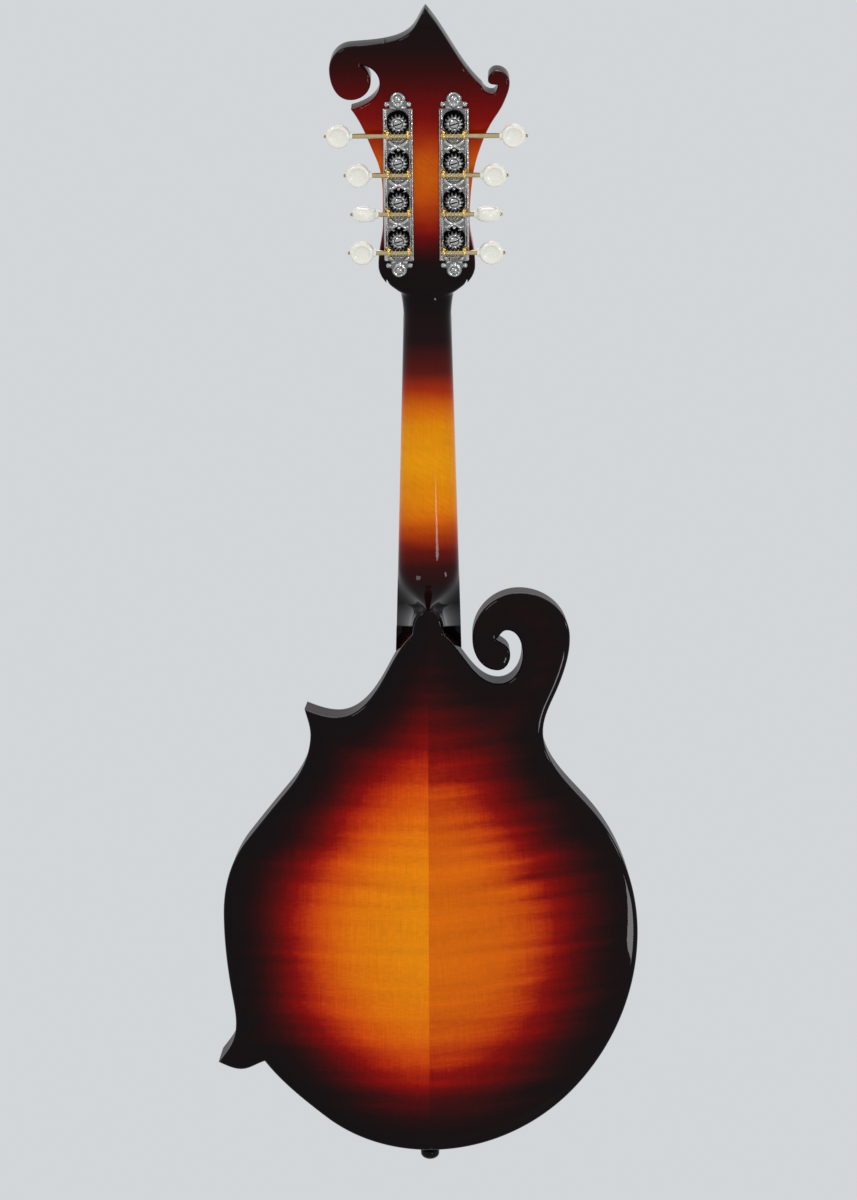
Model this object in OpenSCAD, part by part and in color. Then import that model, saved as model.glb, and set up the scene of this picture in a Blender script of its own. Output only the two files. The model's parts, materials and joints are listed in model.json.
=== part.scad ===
// Scroll-body mandolin: carved back and soundboard on bent sides, a bolt-free
// neck with a scroll headstock, two plates of four worm-geared tuners, a
// height-adjustable bridge and a stamped tailpiece with a slide-on cover.
// Frame: the origin is the nut's edge on the neck's glue face. +Z runs up to the
// headstock tip, the back faces -Y and the scroll is on the +X side.

/* [Body] */
// Width over the lower half of the body
body_w = 254; // [240:1:270]
// Length from the tail to the tip of the back's button
body_l = 335; // [322:1:350]
// Height of the sides between the two plates
rib_h = 35.5; // [30:0.5:42]
// Thickness of the bent sides
rib_t = 2; // [1.6:0.1:3]
// Thickness of the plates at their edges
edge_t = 4.2; // [3.4:0.1:5.5]
// Rounding of the plates' outer edges
edge_r = 1.8; // [0.8:0.1:2.4]
// Thickness of the plates in the middle
arch_t = 3.8; // [3:0.1:5]
// Rise of the back's arch over its edge
back_rise = 10.5; // [7:0.5:14]
// Rise of the soundboard's arch over its edge
top_rise = 11.8; // [8:0.5:15]
// Width of the linings glued inside the sides
lining_w = 6; // [4:0.5:9]
// Height of the linings
lining_h = 6; // [4:0.5:9]
// Length of the sound holes
f_hole_l = 96; // [80:1:110]
// Distance between the two sound holes
f_hole_gap = 100; // [90:1:112]
// Height of the tone bars
bar_h = 7; // [5:0.5:10]

/* [Neck] */
// Vibrating length of the open strings
scale_l = 352; // [345:0.5:358]
// Lean of the neck behind the plane of the body
neck_tilt = 5.5; // [4:0.1:6.5]
// Height of the neck's glue face over the soundboard at the body
neck_rise = 7.5; // [6:0.1:10]
// Neck width at the nut
nut_w = 28.8; // [27:0.1:31]
// Neck width where it meets the body
joint_w = 40; // [38:0.5:43]
// Depth of the neck behind its glue face
neck_d = 14.5; // [13:0.1:17]
// Thickness of the fingerboard
board_t = 5.5; // [4.5:0.1:7]
// Number of frets
fret_count = 22; // [19:1:23]
// Height of a fret's crown
fret_h = 1.1; // [0.8:0.05:1.4]
// Thickness of the nut along the strings
nut_t = 4.5; // [3.5:0.1:6]
// Width of the truss rod's channel
rod_w = 6; // [5:0.5:8]

/* [Headstock] */
// Length of the headstock above the nut
head_l = 177; // [170:1:186]
// Width over both scrolls
head_w = 107; // [102:1:112]
// Thickness of the maple
head_t = 13.5; // [12:0.5:16]
// Thickness of the front veneer
veneer_t = 1.8; // [1:0.1:2.5]
// Lean of the headstock behind the neck
head_tilt = 12.5; // [9:0.5:15]
// Width of the neck blank between the glued-on wings
blank_w = 49; // [46:0.5:52]

/* [Tuners] */
// Spacing of the string posts
post_pitch = 24; // [23:0.1:25]
// Distance from the nut to the first post
post_start = 38; // [36:0.5:41]
// Distance of the posts from the centre line
post_x = 16.6; // [15.8:0.1:17.4]
// Diameter of a string post
post_d = 6; // [5.5:0.1:6.4]
// Height of the posts over the veneer
post_h = 13; // [10:0.5:16]
// Teeth on each worm wheel
wheel_teeth = 14; // [14:1:16]
// Thickness of the worm wheels
wheel_t = 3.2; // [2.6:0.1:4]
// Distance between a worm's axis and its wheel's axis
gear_gap = 7.5; // [7.2:0.1:8]
// Pitch radius of a worm
worm_r = 2.5; // [2.3:0.1:2.7]
// Diameter of a worm's shaft
shaft_d = 3; // [2.6:0.1:3.2]
// Width of a tuner plate
plate_w = 18; // [17:0.5:19]
// Thickness of a tuner plate
plate_t = 1.2; // [0.8:0.1:1.6]
// Diameter of a tuner button
button_d = 14.4; // [12:0.2:15.5]
// Thickness of a tuner button
button_t = 6.6; // [5:0.2:8]
// Running clearance of shafts and posts
run_gap = 0.05; // [0.02:0.01:0.08]

/* [Bridge and tailpiece] */
// Length of the bridge across the body
bridge_l = 108; // [96:1:116]
// Thickness of the bridge along the strings
bridge_t = 10; // [8:0.5:12]
// Distance between the two bridge posts
stud_gap = 60; // [54:1:66]
// Diameter of the thumbwheels
thumb_d = 14; // [12:0.5:16]
// Thickness of the thumbwheels
thumb_t = 3; // [2.4:0.1:3.6]
// How far the saddle can be let down
saddle_drop = 2; // [1:0.1:2.4]
// Width of the tailpiece
tail_w = 34; // [30:1:38]
// Length of the tailpiece over the soundboard
tail_l = 50; // [44:1:54]
// Thickness of the tailpiece's sheet metal
sheet_t = 1; // [0.8:0.1:1.4]
// How far the cover slides off
cover_travel = 10; // [6:1:14]

/* [Hidden] */
$fn = 40;

// ---- Curves: an outline is a chain of points [across, up, heading in, heading out]
facet_turn = 13;
function heading(a) = [cos(a), sin(a)];
function half_turn(a) = a - 360 * floor((a + 180) / 360);
function leaving(p) = p[len(p) - 1];
function bend(a, b) =
    let (step = [b.x - a.x, b.y - a.y], chord = atan2(step.y, step.x))
    [norm(step), abs(half_turn(leaving(a) - chord)), abs(half_turn(b[2] - chord))];
// A leg of the outline is a cubic curve that keeps both headings.
function leg(a, b) =
    let (bends = bend(a, b),
         turn = bends[1] + bends[2],
         reach = bends[0] / (3 * pow(cos(turn / 4), 2)),
         start = [a.x, a.y], end = [b.x, b.y],
         near = start + reach * heading(leaving(a)),
         far = end - reach * heading(b[2]),
         steps = max(1, ceil(turn / facet_turn)))
    [for (i = [0:steps - 1]) let (t = i / steps, u = 1 - t)
        u*u*u * start + 3*u*u*t * near + 3*u*t*t * far + t*t*t * end];
function outline(rows) =
    [for (i = [0:len(rows) - 1]) each leg(rows[i], rows[(i + 1) % len(rows)])];
function scaled(points, across, up) = [for (p = points) [p.x * across, p.y * up]];
function unit(v) = v / max(norm(v), 0.000001);
// An outline drawn in by d, each point moved along the bisector of its corner. A point
// on the centre line stays on it, so that the plates can be joined there.
function inset(points, d) =
    let (n = len(points))
    [for (i = [0:n - 1])
        let (p = points[i], u = unit(points[(i + 1) % n] - points[(i + n - 1) % n]))
        [p.x == 0 ? 0 : p.x - d * u.y, p.y + d * u.x]];

// ---- Body outline, seen from behind, drawn for a 254 x 335 body from the tail up
DRAWN_W = 254;
DRAWN_L = 335;
body_rows = [
    [0, 0, 0],
    [91, 41, 48],
    [128, 136, 90],
    [101, 211, 130],
    [70, 259, 93],
    [80, 290, 69],
    [86.3, 319, 92],          // outer side of the scroll
    [57, 345.5, 178],
    [27, 318, 268],
    [42, 298, 358],
    [50, 308.5, 95],
    [41.5, 317, 150, 45],     // inner end of the scroll's cut
    [48, 322.5, 0],
    [57.5, 308, 270],
    [43, 290, 180],
    [25, 301.5, 128],
    [9.5, 320, 140, 95],      // foot of the button
    [0, 335, 180],
    [-9.5, 320, 265, 222],
    [-28, 292, 240],
    [-56, 269.5, 180],
    [-75.5, 274.5, 158, 285], // upper point
    [-72, 258, 268],
    [-86, 225, 230],
    [-112, 193, 232],
    [-126, 148, 270],
    [-121, 96, 280],
    [-120, 72, 256],
    [-130, 55.5, 232, 336],   // lower point
    [-116, 51, 0],
    [-101.5, 56, 16, 308],
    [-64, 21, 322]];
arch_rows = [
    [0, 12, 0],
    [80, 48, 47],
    [116, 136, 90],
    [107, 172, 106],
    [60, 250, 112],
    [0, 296, 180],
    [-46, 264, 236],
    [-78, 221, 232],
    [-107, 172, 250],
    [-114, 140, 270],
    [-103, 82, 287],
    [-66, 34, 316]];
kx = body_w / DRAWN_W;
ky = body_l / DRAWN_L;
body_points = scaled(outline(body_rows), kx, ky);
joint_z = 320 * ky;
// The sides and the soundboard stop at the neck joint; only the back has a button.
rim_points = [for (p = body_points) [p.x, min(p.y, p.x > -12 * kx && p.x < 12 * kx
    ? joint_z : body_l * 2)]];
arch_points = scaled(outline(arch_rows), kx, ky);

// ---- Where the neck meets the body
joint_fret = 15;
function fret_at(n) = scale_l * (1 - pow(2, -n / 12));
rim_y = rib_h / 2;
plate_y = rim_y + edge_t;
neck_y = plate_y + neck_rise - fret_at(joint_fret) * sin(neck_tilt);
nut_z = joint_z + fret_at(joint_fret) * cos(neck_tilt);
head_lean = neck_tilt + head_tilt;
// Height of the strings' undersides over the glue face, at the nut and the bridge
nut_line = board_t + fret_h + 0.35;
bridge_line = nut_line + 3;
// The bridge stands where the strings' vibrating length ends.
bridge_z = nut_z + bridge_line * sin(neck_tilt) - scale_l * cos(neck_tilt);
saddle_y = neck_y + bridge_line * cos(neck_tilt) + scale_l * sin(neck_tilt);
arch_mid = [0, bridge_z];
bed = 0.02;
cut = 1;

module in_body() { translate([0, -neck_y, -nut_z]) children(); }
module in_neck() { rotate([neck_tilt, 0, 0]) children(); }
module in_head() {
    in_neck() translate([0, 0, nut_t]) rotate([head_tilt, 0, 0]) children();
}
// Extrudes a shape drawn across and up, from y0 to y1.
module slab(y0, y1) {
    translate([0, y1, 0]) rotate([90, 0, 0]) linear_extrude(y1 - y0) children();
}
function ring(points, y) = [for (p = points) [p.x, y, p.y]];
// Joins rings of equal length into one closed solid.
module skin(rings) {
    n = len(rings[0]);
    last = len(rings) - 1;
    polyhedron(
        points = [for (r = rings) each r],
        faces = concat(
            [[for (i = [0:n - 1]) i]],
            [for (k = [0:last - 1], i = [0:n - 1]) let (j = (i + 1) % n)
                each [[k*n + i, (k + 1)*n + i, (k + 1)*n + j],
                      [k*n + i, (k + 1)*n + j, k*n + j]]],
            [[for (i = [n - 1:-1:0]) last*n + i]]));
}
// A slab from y = 0 back to y = -t, with its far edge rounded to r.
module rounded_slab(points, t, r) {
    skin(concat([ring(points, 0)],
        [for (a = [0:45:90])
            ring(inset(points, r * (1 - cos(a))), -(t - r) - r * sin(a))]));
}

// ---- Arched plates
// Share of the full rise at s, from 0 at the arch's edge to 1 in the middle.
function arch_share(s) = pow(sin(90 * s), 2);
function arch_y(s, rise) = edge_t + rise * arch_share(s);
arch_steps = [0, 0.12, 0.25, 0.38, 0.52, 0.68, 0.84];
module dome(size, base, rise) {
    edge = [for (p = arch_points) arch_mid + size * (p - arch_mid)];
    n = len(edge);
    rings = concat([ring(edge, 0)],
        [for (s = arch_steps)
            ring([for (p = edge) arch_mid + (1 - s) * (p - arch_mid)],
                 -base - rise * arch_share(s))]);
    last = len(rings) - 1;
    polyhedron(
        points = concat([for (r = rings) each r],
            [[arch_mid.x, -base - rise, arch_mid.y]]),
        faces = concat(
            [[for (i = [0:n - 1]) i]],
            [for (k = [0:last - 1], i = [0:n - 1]) let (j = (i + 1) % n)
                each [[k*n + i, (k + 1)*n + i, (k + 1)*n + j],
                      [k*n + i, (k + 1)*n + j, k*n + j]]],
            [for (i = [0:n - 1]) [last*n + i, (last + 1)*n, last*n + (i + 1) % n]]));
}
inner_size = 0.95;
// A carved plate, lying on y = 0 with its outside towards -y.
module carved_plate(points, rise) {
    difference() {
        union() {
            rounded_slab(points, edge_t, edge_r);
            dome(1, edge_t, rise);
        }
        translate([0, bed, 0]) dome(inner_size, edge_t - arch_t + bed, rise);
    }
}
module back_plate() {
    translate([0, -rim_y, 0]) carved_plate(body_points, back_rise);
}
module half(side) {
    resize([0, 0, 0]) intersection() {
        back_plate();
        translate([side > 0 ? 0 : -body_w, -plate_y - 2 * back_rise, -cut])
            cube([body_w, 2 * plate_y, 1.1 * body_l]);
    }
}
module back_bass_half() { color("saddlebrown") in_body() half(1); }
module back_treble_half() { color("sienna") in_body() half(-1); }

// ---- Sound holes
eye_r = 4.1;
nick = 2.2;
function f_lean(s) = -8 * s * pow(abs(s), 0.7);
function f_half(s) = 1.1 + 2.2 * (1 - s * s);
f_sides = [for (s = [-1:0.125:1]) s];
module f_hole() {
    h = f_hole_l / 2 - eye_r - 2;
    polygon(concat(
        [for (s = f_sides) [f_lean(s) + f_half(s), s * h]],
        [for (i = [len(f_sides) - 1:-1:0]) let (s = f_sides[i])
            [f_lean(s) - f_half(s), s * h]]));
    for (end = [1, -1])
        translate([f_lean(end) - end * (eye_r - f_half(1)), end * h])
            circle(eye_r, $fn = 20);
    polygon([[-f_half(0) - nick, 0], [0, nick / 2], [f_half(0) + nick, 0], [0, -nick / 2]]);
}
module soundboard() {
    color("peru") in_body() resize([0, 0, 0]) difference() {
        translate([0, rim_y, 0]) mirror([0, 1, 0]) carved_plate(rim_points, top_rise);
        for (side = [1, -1])
            translate([side * f_hole_gap / 2, 0, arch_mid.y])
                mirror([side > 0 ? 0 : 1, 0, 0]) slab(0, plate_y + 2 * top_rise) f_hole();
    }
}

// ---- Rim: sides, linings and blocks
module rim_ring(from, to) {
    difference() {
        polygon(inset(rim_points, from));
        offset(delta = -to) polygon(rim_points);
    }
}
// Where the blocks begin on the drawn body: height, and distance from the centre line.
shoulder_x = 30;
neck_block_h = 30;
scroll_foot = 276;
upper_point = [262, 66];
lower_point = [46, 107];
point_block_h = 40;
module solid_ends() {
    // The scroll and the shoulders under the neck are one block.
    translate([-shoulder_x * kx, joint_z - neck_block_h])
        square([56 * kx, 2 * neck_block_h]);
    translate([20 * kx, scroll_foot * ky]) square([body_w, body_l]);
}
module point_ends() {
    translate([-body_w, upper_point[0] * ky])
        square([body_w - upper_point[1] * kx, point_block_h]);
    translate([-body_w, lower_point[0] * ky])
        square([body_w - lower_point[1] * kx, point_block_h / 2]);
}
module ribs() {
    color("saddlebrown") in_body() difference() {
        slab(-rim_y, rim_y) difference() {
            polygon(rim_points);
            offset(delta = -rib_t) polygon(rim_points);
        }
        end_pin_hole();
        tail_screw_holes();
    }
}
module inside(gap) { offset(delta = -rib_t - gap) polygon(rim_points); }
module head_block() {
    color("burlywood") in_body() slab(-rim_y, rim_y)
        intersection() { inside(bed); solid_ends(); }
}
module point_blocks() {
    color("burlywood") in_body() slab(-rim_y, rim_y)
        intersection() { inside(bed); point_ends(); }
}
tail_block_w = 60;
tail_block_t = 14;
module tail_shape() {
    translate([-tail_block_w / 2, 0]) square([tail_block_w, rib_t + tail_block_t]);
}
module tail_block() {
    color("burlywood") in_body() difference() {
        slab(-rim_y, rim_y) intersection() { inside(bed); tail_shape(); }
        end_pin_hole();
        tail_screw_holes();
    }
}
module lining_ring() {
    difference() {
        inside(bed);
        offset(delta = -rib_t - lining_w) polygon(rim_points);
        offset(delta = bed) solid_ends();
        offset(delta = bed) point_ends();
        offset(delta = bed) tail_shape();
    }
}
module back_lining() { color("wheat") in_body() slab(-rim_y, -rim_y + lining_h) lining_ring(); }
module top_lining() { color("wheat") in_body() slab(rim_y - lining_h, rim_y) lining_ring(); }

bar_w = 6;
bar_l = 190;
bar_gap = 50;
module top_hollow() {
    translate([0, rim_y, 0]) mirror([0, 1, 0])
        translate([0, bed, 0]) dome(inner_size, edge_t - arch_t + bed, top_rise);
}
module tone_bars() {
    color("wheat") in_body() resize([0, 0, 0]) difference() {
        intersection() {
            translate([0, -bed, 0]) top_hollow();
            for (side = [1, -1])
                translate([side * bar_gap / 2 - bar_w / 2, 0, bridge_z - 0.55 * bar_l])
                    cube([bar_w, plate_y + top_rise, bar_l]);
        }
        translate([0, -bar_h, 0]) top_hollow();
    }
}

// ---- Tail: end pin and its hole
pin_r = 3.6;
pin_head_d = 11.5;
pin_head_l = 9.6;
pin_l = 22;
module end_pin_hole() {
    translate([0, 0, -cut]) cylinder(r = pin_r + bed, h = pin_l);
}
module end_pin() {
    color([0.05, 0.04, 0.04]) in_body() {
        translate([0, 0, -sheet_t]) cylinder(r = pin_r, h = pin_l - 2);
        translate([0, 0, -sheet_t - pin_head_l]) rotate_extrude() polygon(concat(
            [[0, 0]],
            [for (a = [15:15:90]) [pin_head_d / 2 * sin(a), 4 * (1 - cos(a))]],
            [[pin_head_d / 2, 6], [4.5, 7.2], [4.2, 8.2], [4.9, pin_head_l], [0, pin_head_l]]));
    }
}

// ---- Headstock outline, seen from behind, drawn 177 tall and 107 wide
DRAWN_HEAD_L = 177;
DRAWN_HEAD_W = 107;
head_rows = [
    [0, 177, 131, 230],         // tip
    [-9, 163.3, 222],
    [-25, 156.8, 190],
    [-44.8, 154.8, 186],
    [-57, 140.8, 270],          // large scroll
    [-44.6, 122.6, 0],
    [-32.4, 133.5, 88],
    [-38.3, 143.8, 140, 352],   // inner end of its cut
    [-27.3, 132.6, 270],
    [-44.4, 116.9, 193, 308],
    [-30.3, 88, 294],
    [-26.2, 58, 269],
    [-26.8, 40, 262],
    [-29.3, 20, 272],           // flare over the nut
    [-21.2, 6.3, 320],
    [-15.6, -3, 270, 0],
    [15.6, -3, 0, 90],
    [21.2, 6.3, 40],
    [29.3, 20, 88],
    [26.5, 40, 99],
    [26.3, 60, 86],
    [31, 89.3, 72],
    [38, 106.9, 62],
    [46.5, 121.3, 68],
    [49.7, 132.6, 90],          // small scroll
    [42, 140, 180],
    [36.8, 134.2, 272],
    [42.6, 131.5, 0, 262],
    [39.3, 126.2, 180],
    [33.5, 130.5, 110, 137]];
hx = head_w / DRAWN_HEAD_W;
hz = head_l / DRAWN_HEAD_L;
head_points = scaled(outline(head_rows), hx, hz);
function across_at(points, z) =
    max([for (i = [0:len(points) - 1])
        let (a = points[i], b = points[(i + 1) % len(points)])
        if ((a.y - z) * (b.y - z) <= 0 && a.y != b.y)
            a.x + (b.x - a.x) * (z - a.y) / (b.y - a.y)]);
head_edge_r = 2;
core_start = 12;

// ---- Neck: rings of one cross-section, from the heel up to the headstock
joint_drop = nut_z - joint_z;
heel_d = plate_y + neck_rise + rim_y - bed;
button_l = body_l - joint_z;
button_half = 9.5 * kx;
heel_run = 44;
depths = [0, 0.14, 0.32, 0.5, 0.66, 0.8, 0.9, 0.965, 1];
function mix(a, b, k) = a + (b - a) * k;
// Half width at depth share u: a rounded back of fullness p, or a heel of back half width b.
function round_half(w, u, p) = w / 2 * sqrt(max(0.003, 1 - pow(u, p)));
function heel_half(w, u, b) = b + (w / 2 - b) * pow(1 - u, 2.2);
// One ring: its glue-face point, its lean, width, depth, fullness, heel share and heel back.
function neck_ring(y, z, lean, w, d, p, k, b) =
    let (sides = [for (u = depths) [mix(round_half(w, u, p), heel_half(w, u, b), k), u * d]])
    [for (side = [1, -1], i = [0:len(depths) - 1])
        let (s = sides[side > 0 ? i : len(depths) - 1 - i])
        [side * s[0], y - s[1] * cos(lean), z - s[1] * sin(lean)]];
function neck_width(z) = mix(nut_w, joint_w, -z / joint_drop);
function heel_share(h) = pow(1 - min(1, max(0, h - button_l) / heel_run), 2.4);
function heel_back(h) = h < button_l ? button_half * sqrt(1.02 - pow(h / button_l, 3)) : 1.3;
heel_steps = [0, 5, 9, 12, 14, 15, 17, 20, 24, 29, 35, 42, 50, 59];
shaft_steps = [for (i = [0:5]) mix(64, joint_drop - 22, i / 5)];
function heel_ring(h) =
    let (z = h - joint_drop, k = heel_share(h), w = neck_width(z))
    neck_ring(-z * tan(neck_tilt), z, 0, w,
        mix(neck_d + 1.6 * (-z / joint_drop), heel_d - h * tan(neck_tilt), k),
        2.3, k, heel_back(h));
function head_ring(s) =
    let (lean = head_lean, k = min(1, max(0, s / core_start)))
    neck_ring(-nut_t * sin(neck_tilt) - s * sin(lean),
        nut_t * cos(neck_tilt) + s * cos(lean), lean,
        2 * min(blank_w / 2, across_at(head_points, s)),
        mix(neck_d, head_t, k), mix(2.6, 14, k), 0, 1);
module neck_shaft() {
    rings = concat(
        [for (h = heel_steps) heel_ring(h)],
        [for (h = shaft_steps) heel_ring(h)],
        [let (z = -8) neck_ring(-z * tan(neck_tilt), z, 3, neck_width(z), neck_d, 2.4, 0, 1)],
        [for (s = [0:4:core_start + 2]) head_ring(s)]);
    skin([for (i = [len(rings) - 1:-1:0]) rings[i]]);
}
module head_slab(points) { rounded_slab(points, head_t, head_edge_r); }
module blank(side_cut) {
    translate([-blank_w / 2 - side_cut, -2 * head_t, core_start])
        cube([blank_w + 2 * side_cut, 3 * head_t, 2 * head_l]);
}
riser_l = 22;
board_end = fret_at(fret_count) + 6;
module riser() {
    // The neck runs on over the soundboard and tapers under the fingerboard's end.
    end_z = -board_end * cos(neck_tilt);
    foot_y = plate_y - neck_y;
    top_z = 1 - joint_drop;
    intersection() {
        rotate([90, 0, 90]) translate([0, 0, -body_w / 2]) linear_extrude(body_w) polygon([
            [foot_y, top_z], [foot_y, -joint_drop - riser_l],
            [-end_z * tan(neck_tilt) - 1.5, end_z + 3],
            [-(end_z + 1) * tan(neck_tilt), end_z + 1],
            [-top_z * tan(neck_tilt), top_z]]);
        slab(-body_w, body_w) polygon([
            [-neck_width(top_z) / 2, top_z], [neck_width(top_z) / 2, top_z],
            [neck_width(end_z) / 2, end_z], [-neck_width(end_z) / 2, end_z]]);
    }
}
rod_d = 4.8;
rod_y = -4.6;
rod_l = joint_drop - 14;
module rod_channel() {
    in_neck() translate([-rod_w / 2, rod_y - rod_w / 2, -rod_l - 1])
        cube([rod_w, rod_w / 2 - rod_y + cut, rod_l + 12]);
    in_head() translate([-4.5, -9, -2]) cube([9, 9 + cut, 24]);
}
module neck() {
    color("saddlebrown") resize([0, 0, 0]) difference() {
        union() {
            neck_shaft();
            in_head() intersection() { head_slab(head_points); blank(0); }
            riser();
        }
        rod_channel();
        in_head() {
            post_holes();
            cover_screw_holes();
        }
    }
}
module headstock_wings() {
    color("saddlebrown") resize([0, 0, 0]) in_head() difference() {
        head_slab(head_points);
        blank(bed);
        translate([-blank_w / 2 - bed, -2 * head_t, -20])
            cube([blank_w + 2 * bed, 3 * head_t, 20 + core_start + cut]);
        post_holes();
    }
}
module headstock_veneer() {
    color([0.04, 0.04, 0.04]) in_head() difference() {
        slab(bed, veneer_t) intersection() {
            polygon(head_points);
            translate([-head_w, 0.6]) square([2 * head_w, 2 * head_l]);
        }
        translate([-4.5, -cut, -cut]) cube([9, 9, 23 + cut]);
        post_holes();
        cover_screw_holes();
    }
}

// ---- Truss rod and its cover
module truss_rod() {
    color("silver") in_neck() translate([0, rod_y, -rod_l]) {
        cylinder(d = rod_d, h = rod_l + 8);
        translate([0, 0, rod_l + 8]) cylinder(d = 7, h = 8, $fn = 6);
        translate([-rod_w / 2 + 0.2, -rod_d / 2, 0]) cube([rod_w - 0.4, rod_d, 5]);
    }
}
cover_w = 22;
cover_l = 34;
module cover_screws() {
    for (p = [[0, cover_l - 4], [-7, 5], [7, 5]]) translate([p.x, 0, p.y]) children();
}
module cover_screw_holes() {
    cover_screws() rotate([90, 0, 0]) cylinder(d = 1.6, h = 12, center = true, $fn = 20);
}
module truss_rod_cover() {
    color([0.04, 0.04, 0.04]) in_head() difference() {
        slab(veneer_t, veneer_t + 1.8) polygon(outline([
            [0, 1.5, 0], [cover_w / 2, 5, 75], [5.5, 20, 100], [0, cover_l, 150, 210],
            [-5.5, 20, 260], [-cover_w / 2, 5, 285]]));
        cover_screw_holes();
    }
}
module truss_cover_screws() {
    color("silver") in_head() cover_screws() {
        translate([0, veneer_t + 1.8, 0]) rotate([-90, 0, 0])
            intersection() {
                cylinder(d = 3.2, h = 1.1);
                translate([0, 0, -1.2]) sphere(r = 2.2);
            }
        translate([0, veneer_t + 1.9, 0]) rotate([90, 0, 0]) cylinder(d = 1.5, h = 5.6);
    }
}

// ---- Fingerboard, frets and nut, in the neck's own frame
function board_half(z) = mix(nut_w, joint_w, -z / (fret_at(joint_fret))) / 2;
module fingerboard() {
    edge = 0.8;
    color([0.1, 0.07, 0.05]) in_neck() difference() {
        intersection() {
            slab(bed, board_t) polygon([
                [-board_half(0), 0], [board_half(0), 0],
                [board_half(-board_end), -board_end], [-board_half(-board_end), -board_end]]);
            translate([0, 0, -board_end - cut]) linear_extrude(board_end + 2 * cut)
                polygon([
                    [-board_half(-board_end), 0], [board_half(-board_end), 0],
                    [board_half(-board_end), board_t - edge],
                    [board_half(-board_end) - edge, board_t],
                    [edge - board_half(-board_end), board_t],
                    [-board_half(-board_end), board_t - edge]]);
        }
        marker_places() cylinder(d = marker_d + 2 * bed, h = 2);
    }
}
marker_d = 5;
marker_t = 1.2;
module marker_places() {
    for (n = [5, 7, 10, 12, 15, 17, 20], side = n == 12 ? [-1, 1] : [0])
        if (n <= fret_count)
            translate([side * 8, board_t - marker_t, -(fret_at(n) + fret_at(n - 1)) / 2])
                rotate([-90, 0, 0]) children();
}
module fret_markers() {
    color("ivory") in_neck() marker_places() cylinder(d = marker_d, h = marker_t);
}
module frets() {
    crown_w = 2.3;
    color("silver") in_neck() for (n = [1:fret_count]) {
        half = board_half(-fret_at(n)) - 0.9;
        translate([-half, board_t + bed, -fret_at(n)]) rotate([90, 0, 90])
            linear_extrude(2 * half) polygon(
                [for (a = [0:30:180]) [fret_h * sin(a), crown_w / 2 * cos(a)]]);
    }
}
gauges = [0.28, 0.28, 0.38, 0.38, 0.66, 0.66, 1, 1];
nut_spread = 24.6;
nut_pair = 2.6;
bridge_spread = 39;
bridge_pair = 3.6;
tail_spread = 27;
tail_pair = 3.6;
// Place of string k across a set of four pairs, from the treble side.
function string_x(k, spread, pair) =
    (floor(k / 2) - 1.5) * (spread - pair) / 3 + (k % 2 - 0.5) * pair;
function unlean(p, a) = [p.x, p.y * cos(a) - p.z * sin(a), p.y * sin(a) + p.z * cos(a)];
post_r = post_d / 2;
function post_s(i) = post_start + i * post_pitch;
wrap_y = veneer_t + 5.2;
// The outer pairs go to the two posts nearest the nut.
function string_post(k) = k < 4 ? k : 7 - k;
function at_nut(k) =
    unlean([string_x(k, nut_spread, nut_pair), nut_line + gauges[k] / 2, 0], neck_tilt);
function at_bridge(k) =
    unlean([string_x(k, bridge_spread, bridge_pair), bridge_line + gauges[k] / 2 + bed,
            -scale_l], neck_tilt);
function at_head(x, y, s) =
    let (p = unlean([x, y, s], head_lean), o = unlean([0, 0, nut_t], neck_tilt)) p + o;
string_stop = 3.4;
function at_post(k) =
    at_head((k < 4 ? -1 : 1) * (post_x - post_r - gauges[k] / 2), wrap_y,
            post_s(string_post(k)) - string_stop);
module rod(a, b, d, n = 16) {
    way = b - a;
    flat = norm([way.x, way.y]);
    translate(a) rotate([0, atan2(flat, way.z), atan2(way.y, way.x)])
        cylinder(d = d, h = norm(way), $fn = n);
}
module nut() {
    color("ivory") difference() {
        in_neck() translate([-nut_w / 2, bed, 0]) rotate([90, 0, 90]) linear_extrude(nut_w)
            polygon([[0, 0.02], [nut_line + 0.3, 0.02], [nut_line + 0.1, nut_t / 2],
                     [nut_line - 1.2, nut_t], [0, nut_t]]);
        for (k = [0:7]) let (way = unit(at_post(k) - at_nut(k)))
            rod(at_nut(k) - 2 * way, at_nut(k) + 12 * way, gauges[k] + 0.1);
    }
}

// ---- Strings and bridge
hook_z = 17;
// The cover's edges clear the soundboard's arch as far as the cover can slide.
cover_reach = tail_l + cover_travel;
arch_foot = arch_rows[0].y * ky;
function top_on_centre(z) =
    rim_y + arch_y(max(0, (z - arch_foot) / (bridge_z - arch_foot)), top_rise);
cover_y = top_on_centre(cover_reach) + 0.3;
sheet_y = cover_y + 1.1;
anchor_y = sheet_y + sheet_t + 1.6;
function at_hook(k) =
    [string_x(k, tail_spread, tail_pair), anchor_y + gauges[k] / 2 - neck_y, hook_z + 1 - nut_z];
string_sides = 8;
// A string is swept through its bends: hook, saddle, nut, and just short of its post.
module strings() {
    color("gold") for (k = [0:7]) {
        stops = [at_hook(k), at_bridge(k), at_nut(k), at_post(k)];
        skin([for (p = stops) [for (n = [0:string_sides - 1])
            p + gauges[k] / 2 * [cos(360 * n / string_sides), sin(360 * n / string_sides), 0]]]);
    }
}
stud_d = 3.2;
saddle_h = 6.6;
saddle_t = 7;
saddle_end = 40;
saddle_foot = saddle_y - saddle_h;
thumb_top = saddle_foot - bed;
base_top = thumb_top - thumb_t - saddle_drop - 0.3;
stud_top = saddle_foot + 3;
arch_reach = min(across_at(arch_points, bridge_z),
    across_at([for (p = arch_points) [-p.x, p.y]], bridge_z));
function top_y(x) = rim_y + arch_y(1 - min(1, abs(x) / arch_reach), top_rise);
foot_gap = 0.25;
module studs() {
    for (side = [1, -1]) translate([side * stud_gap / 2, 0, bridge_z]) children();
}
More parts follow.
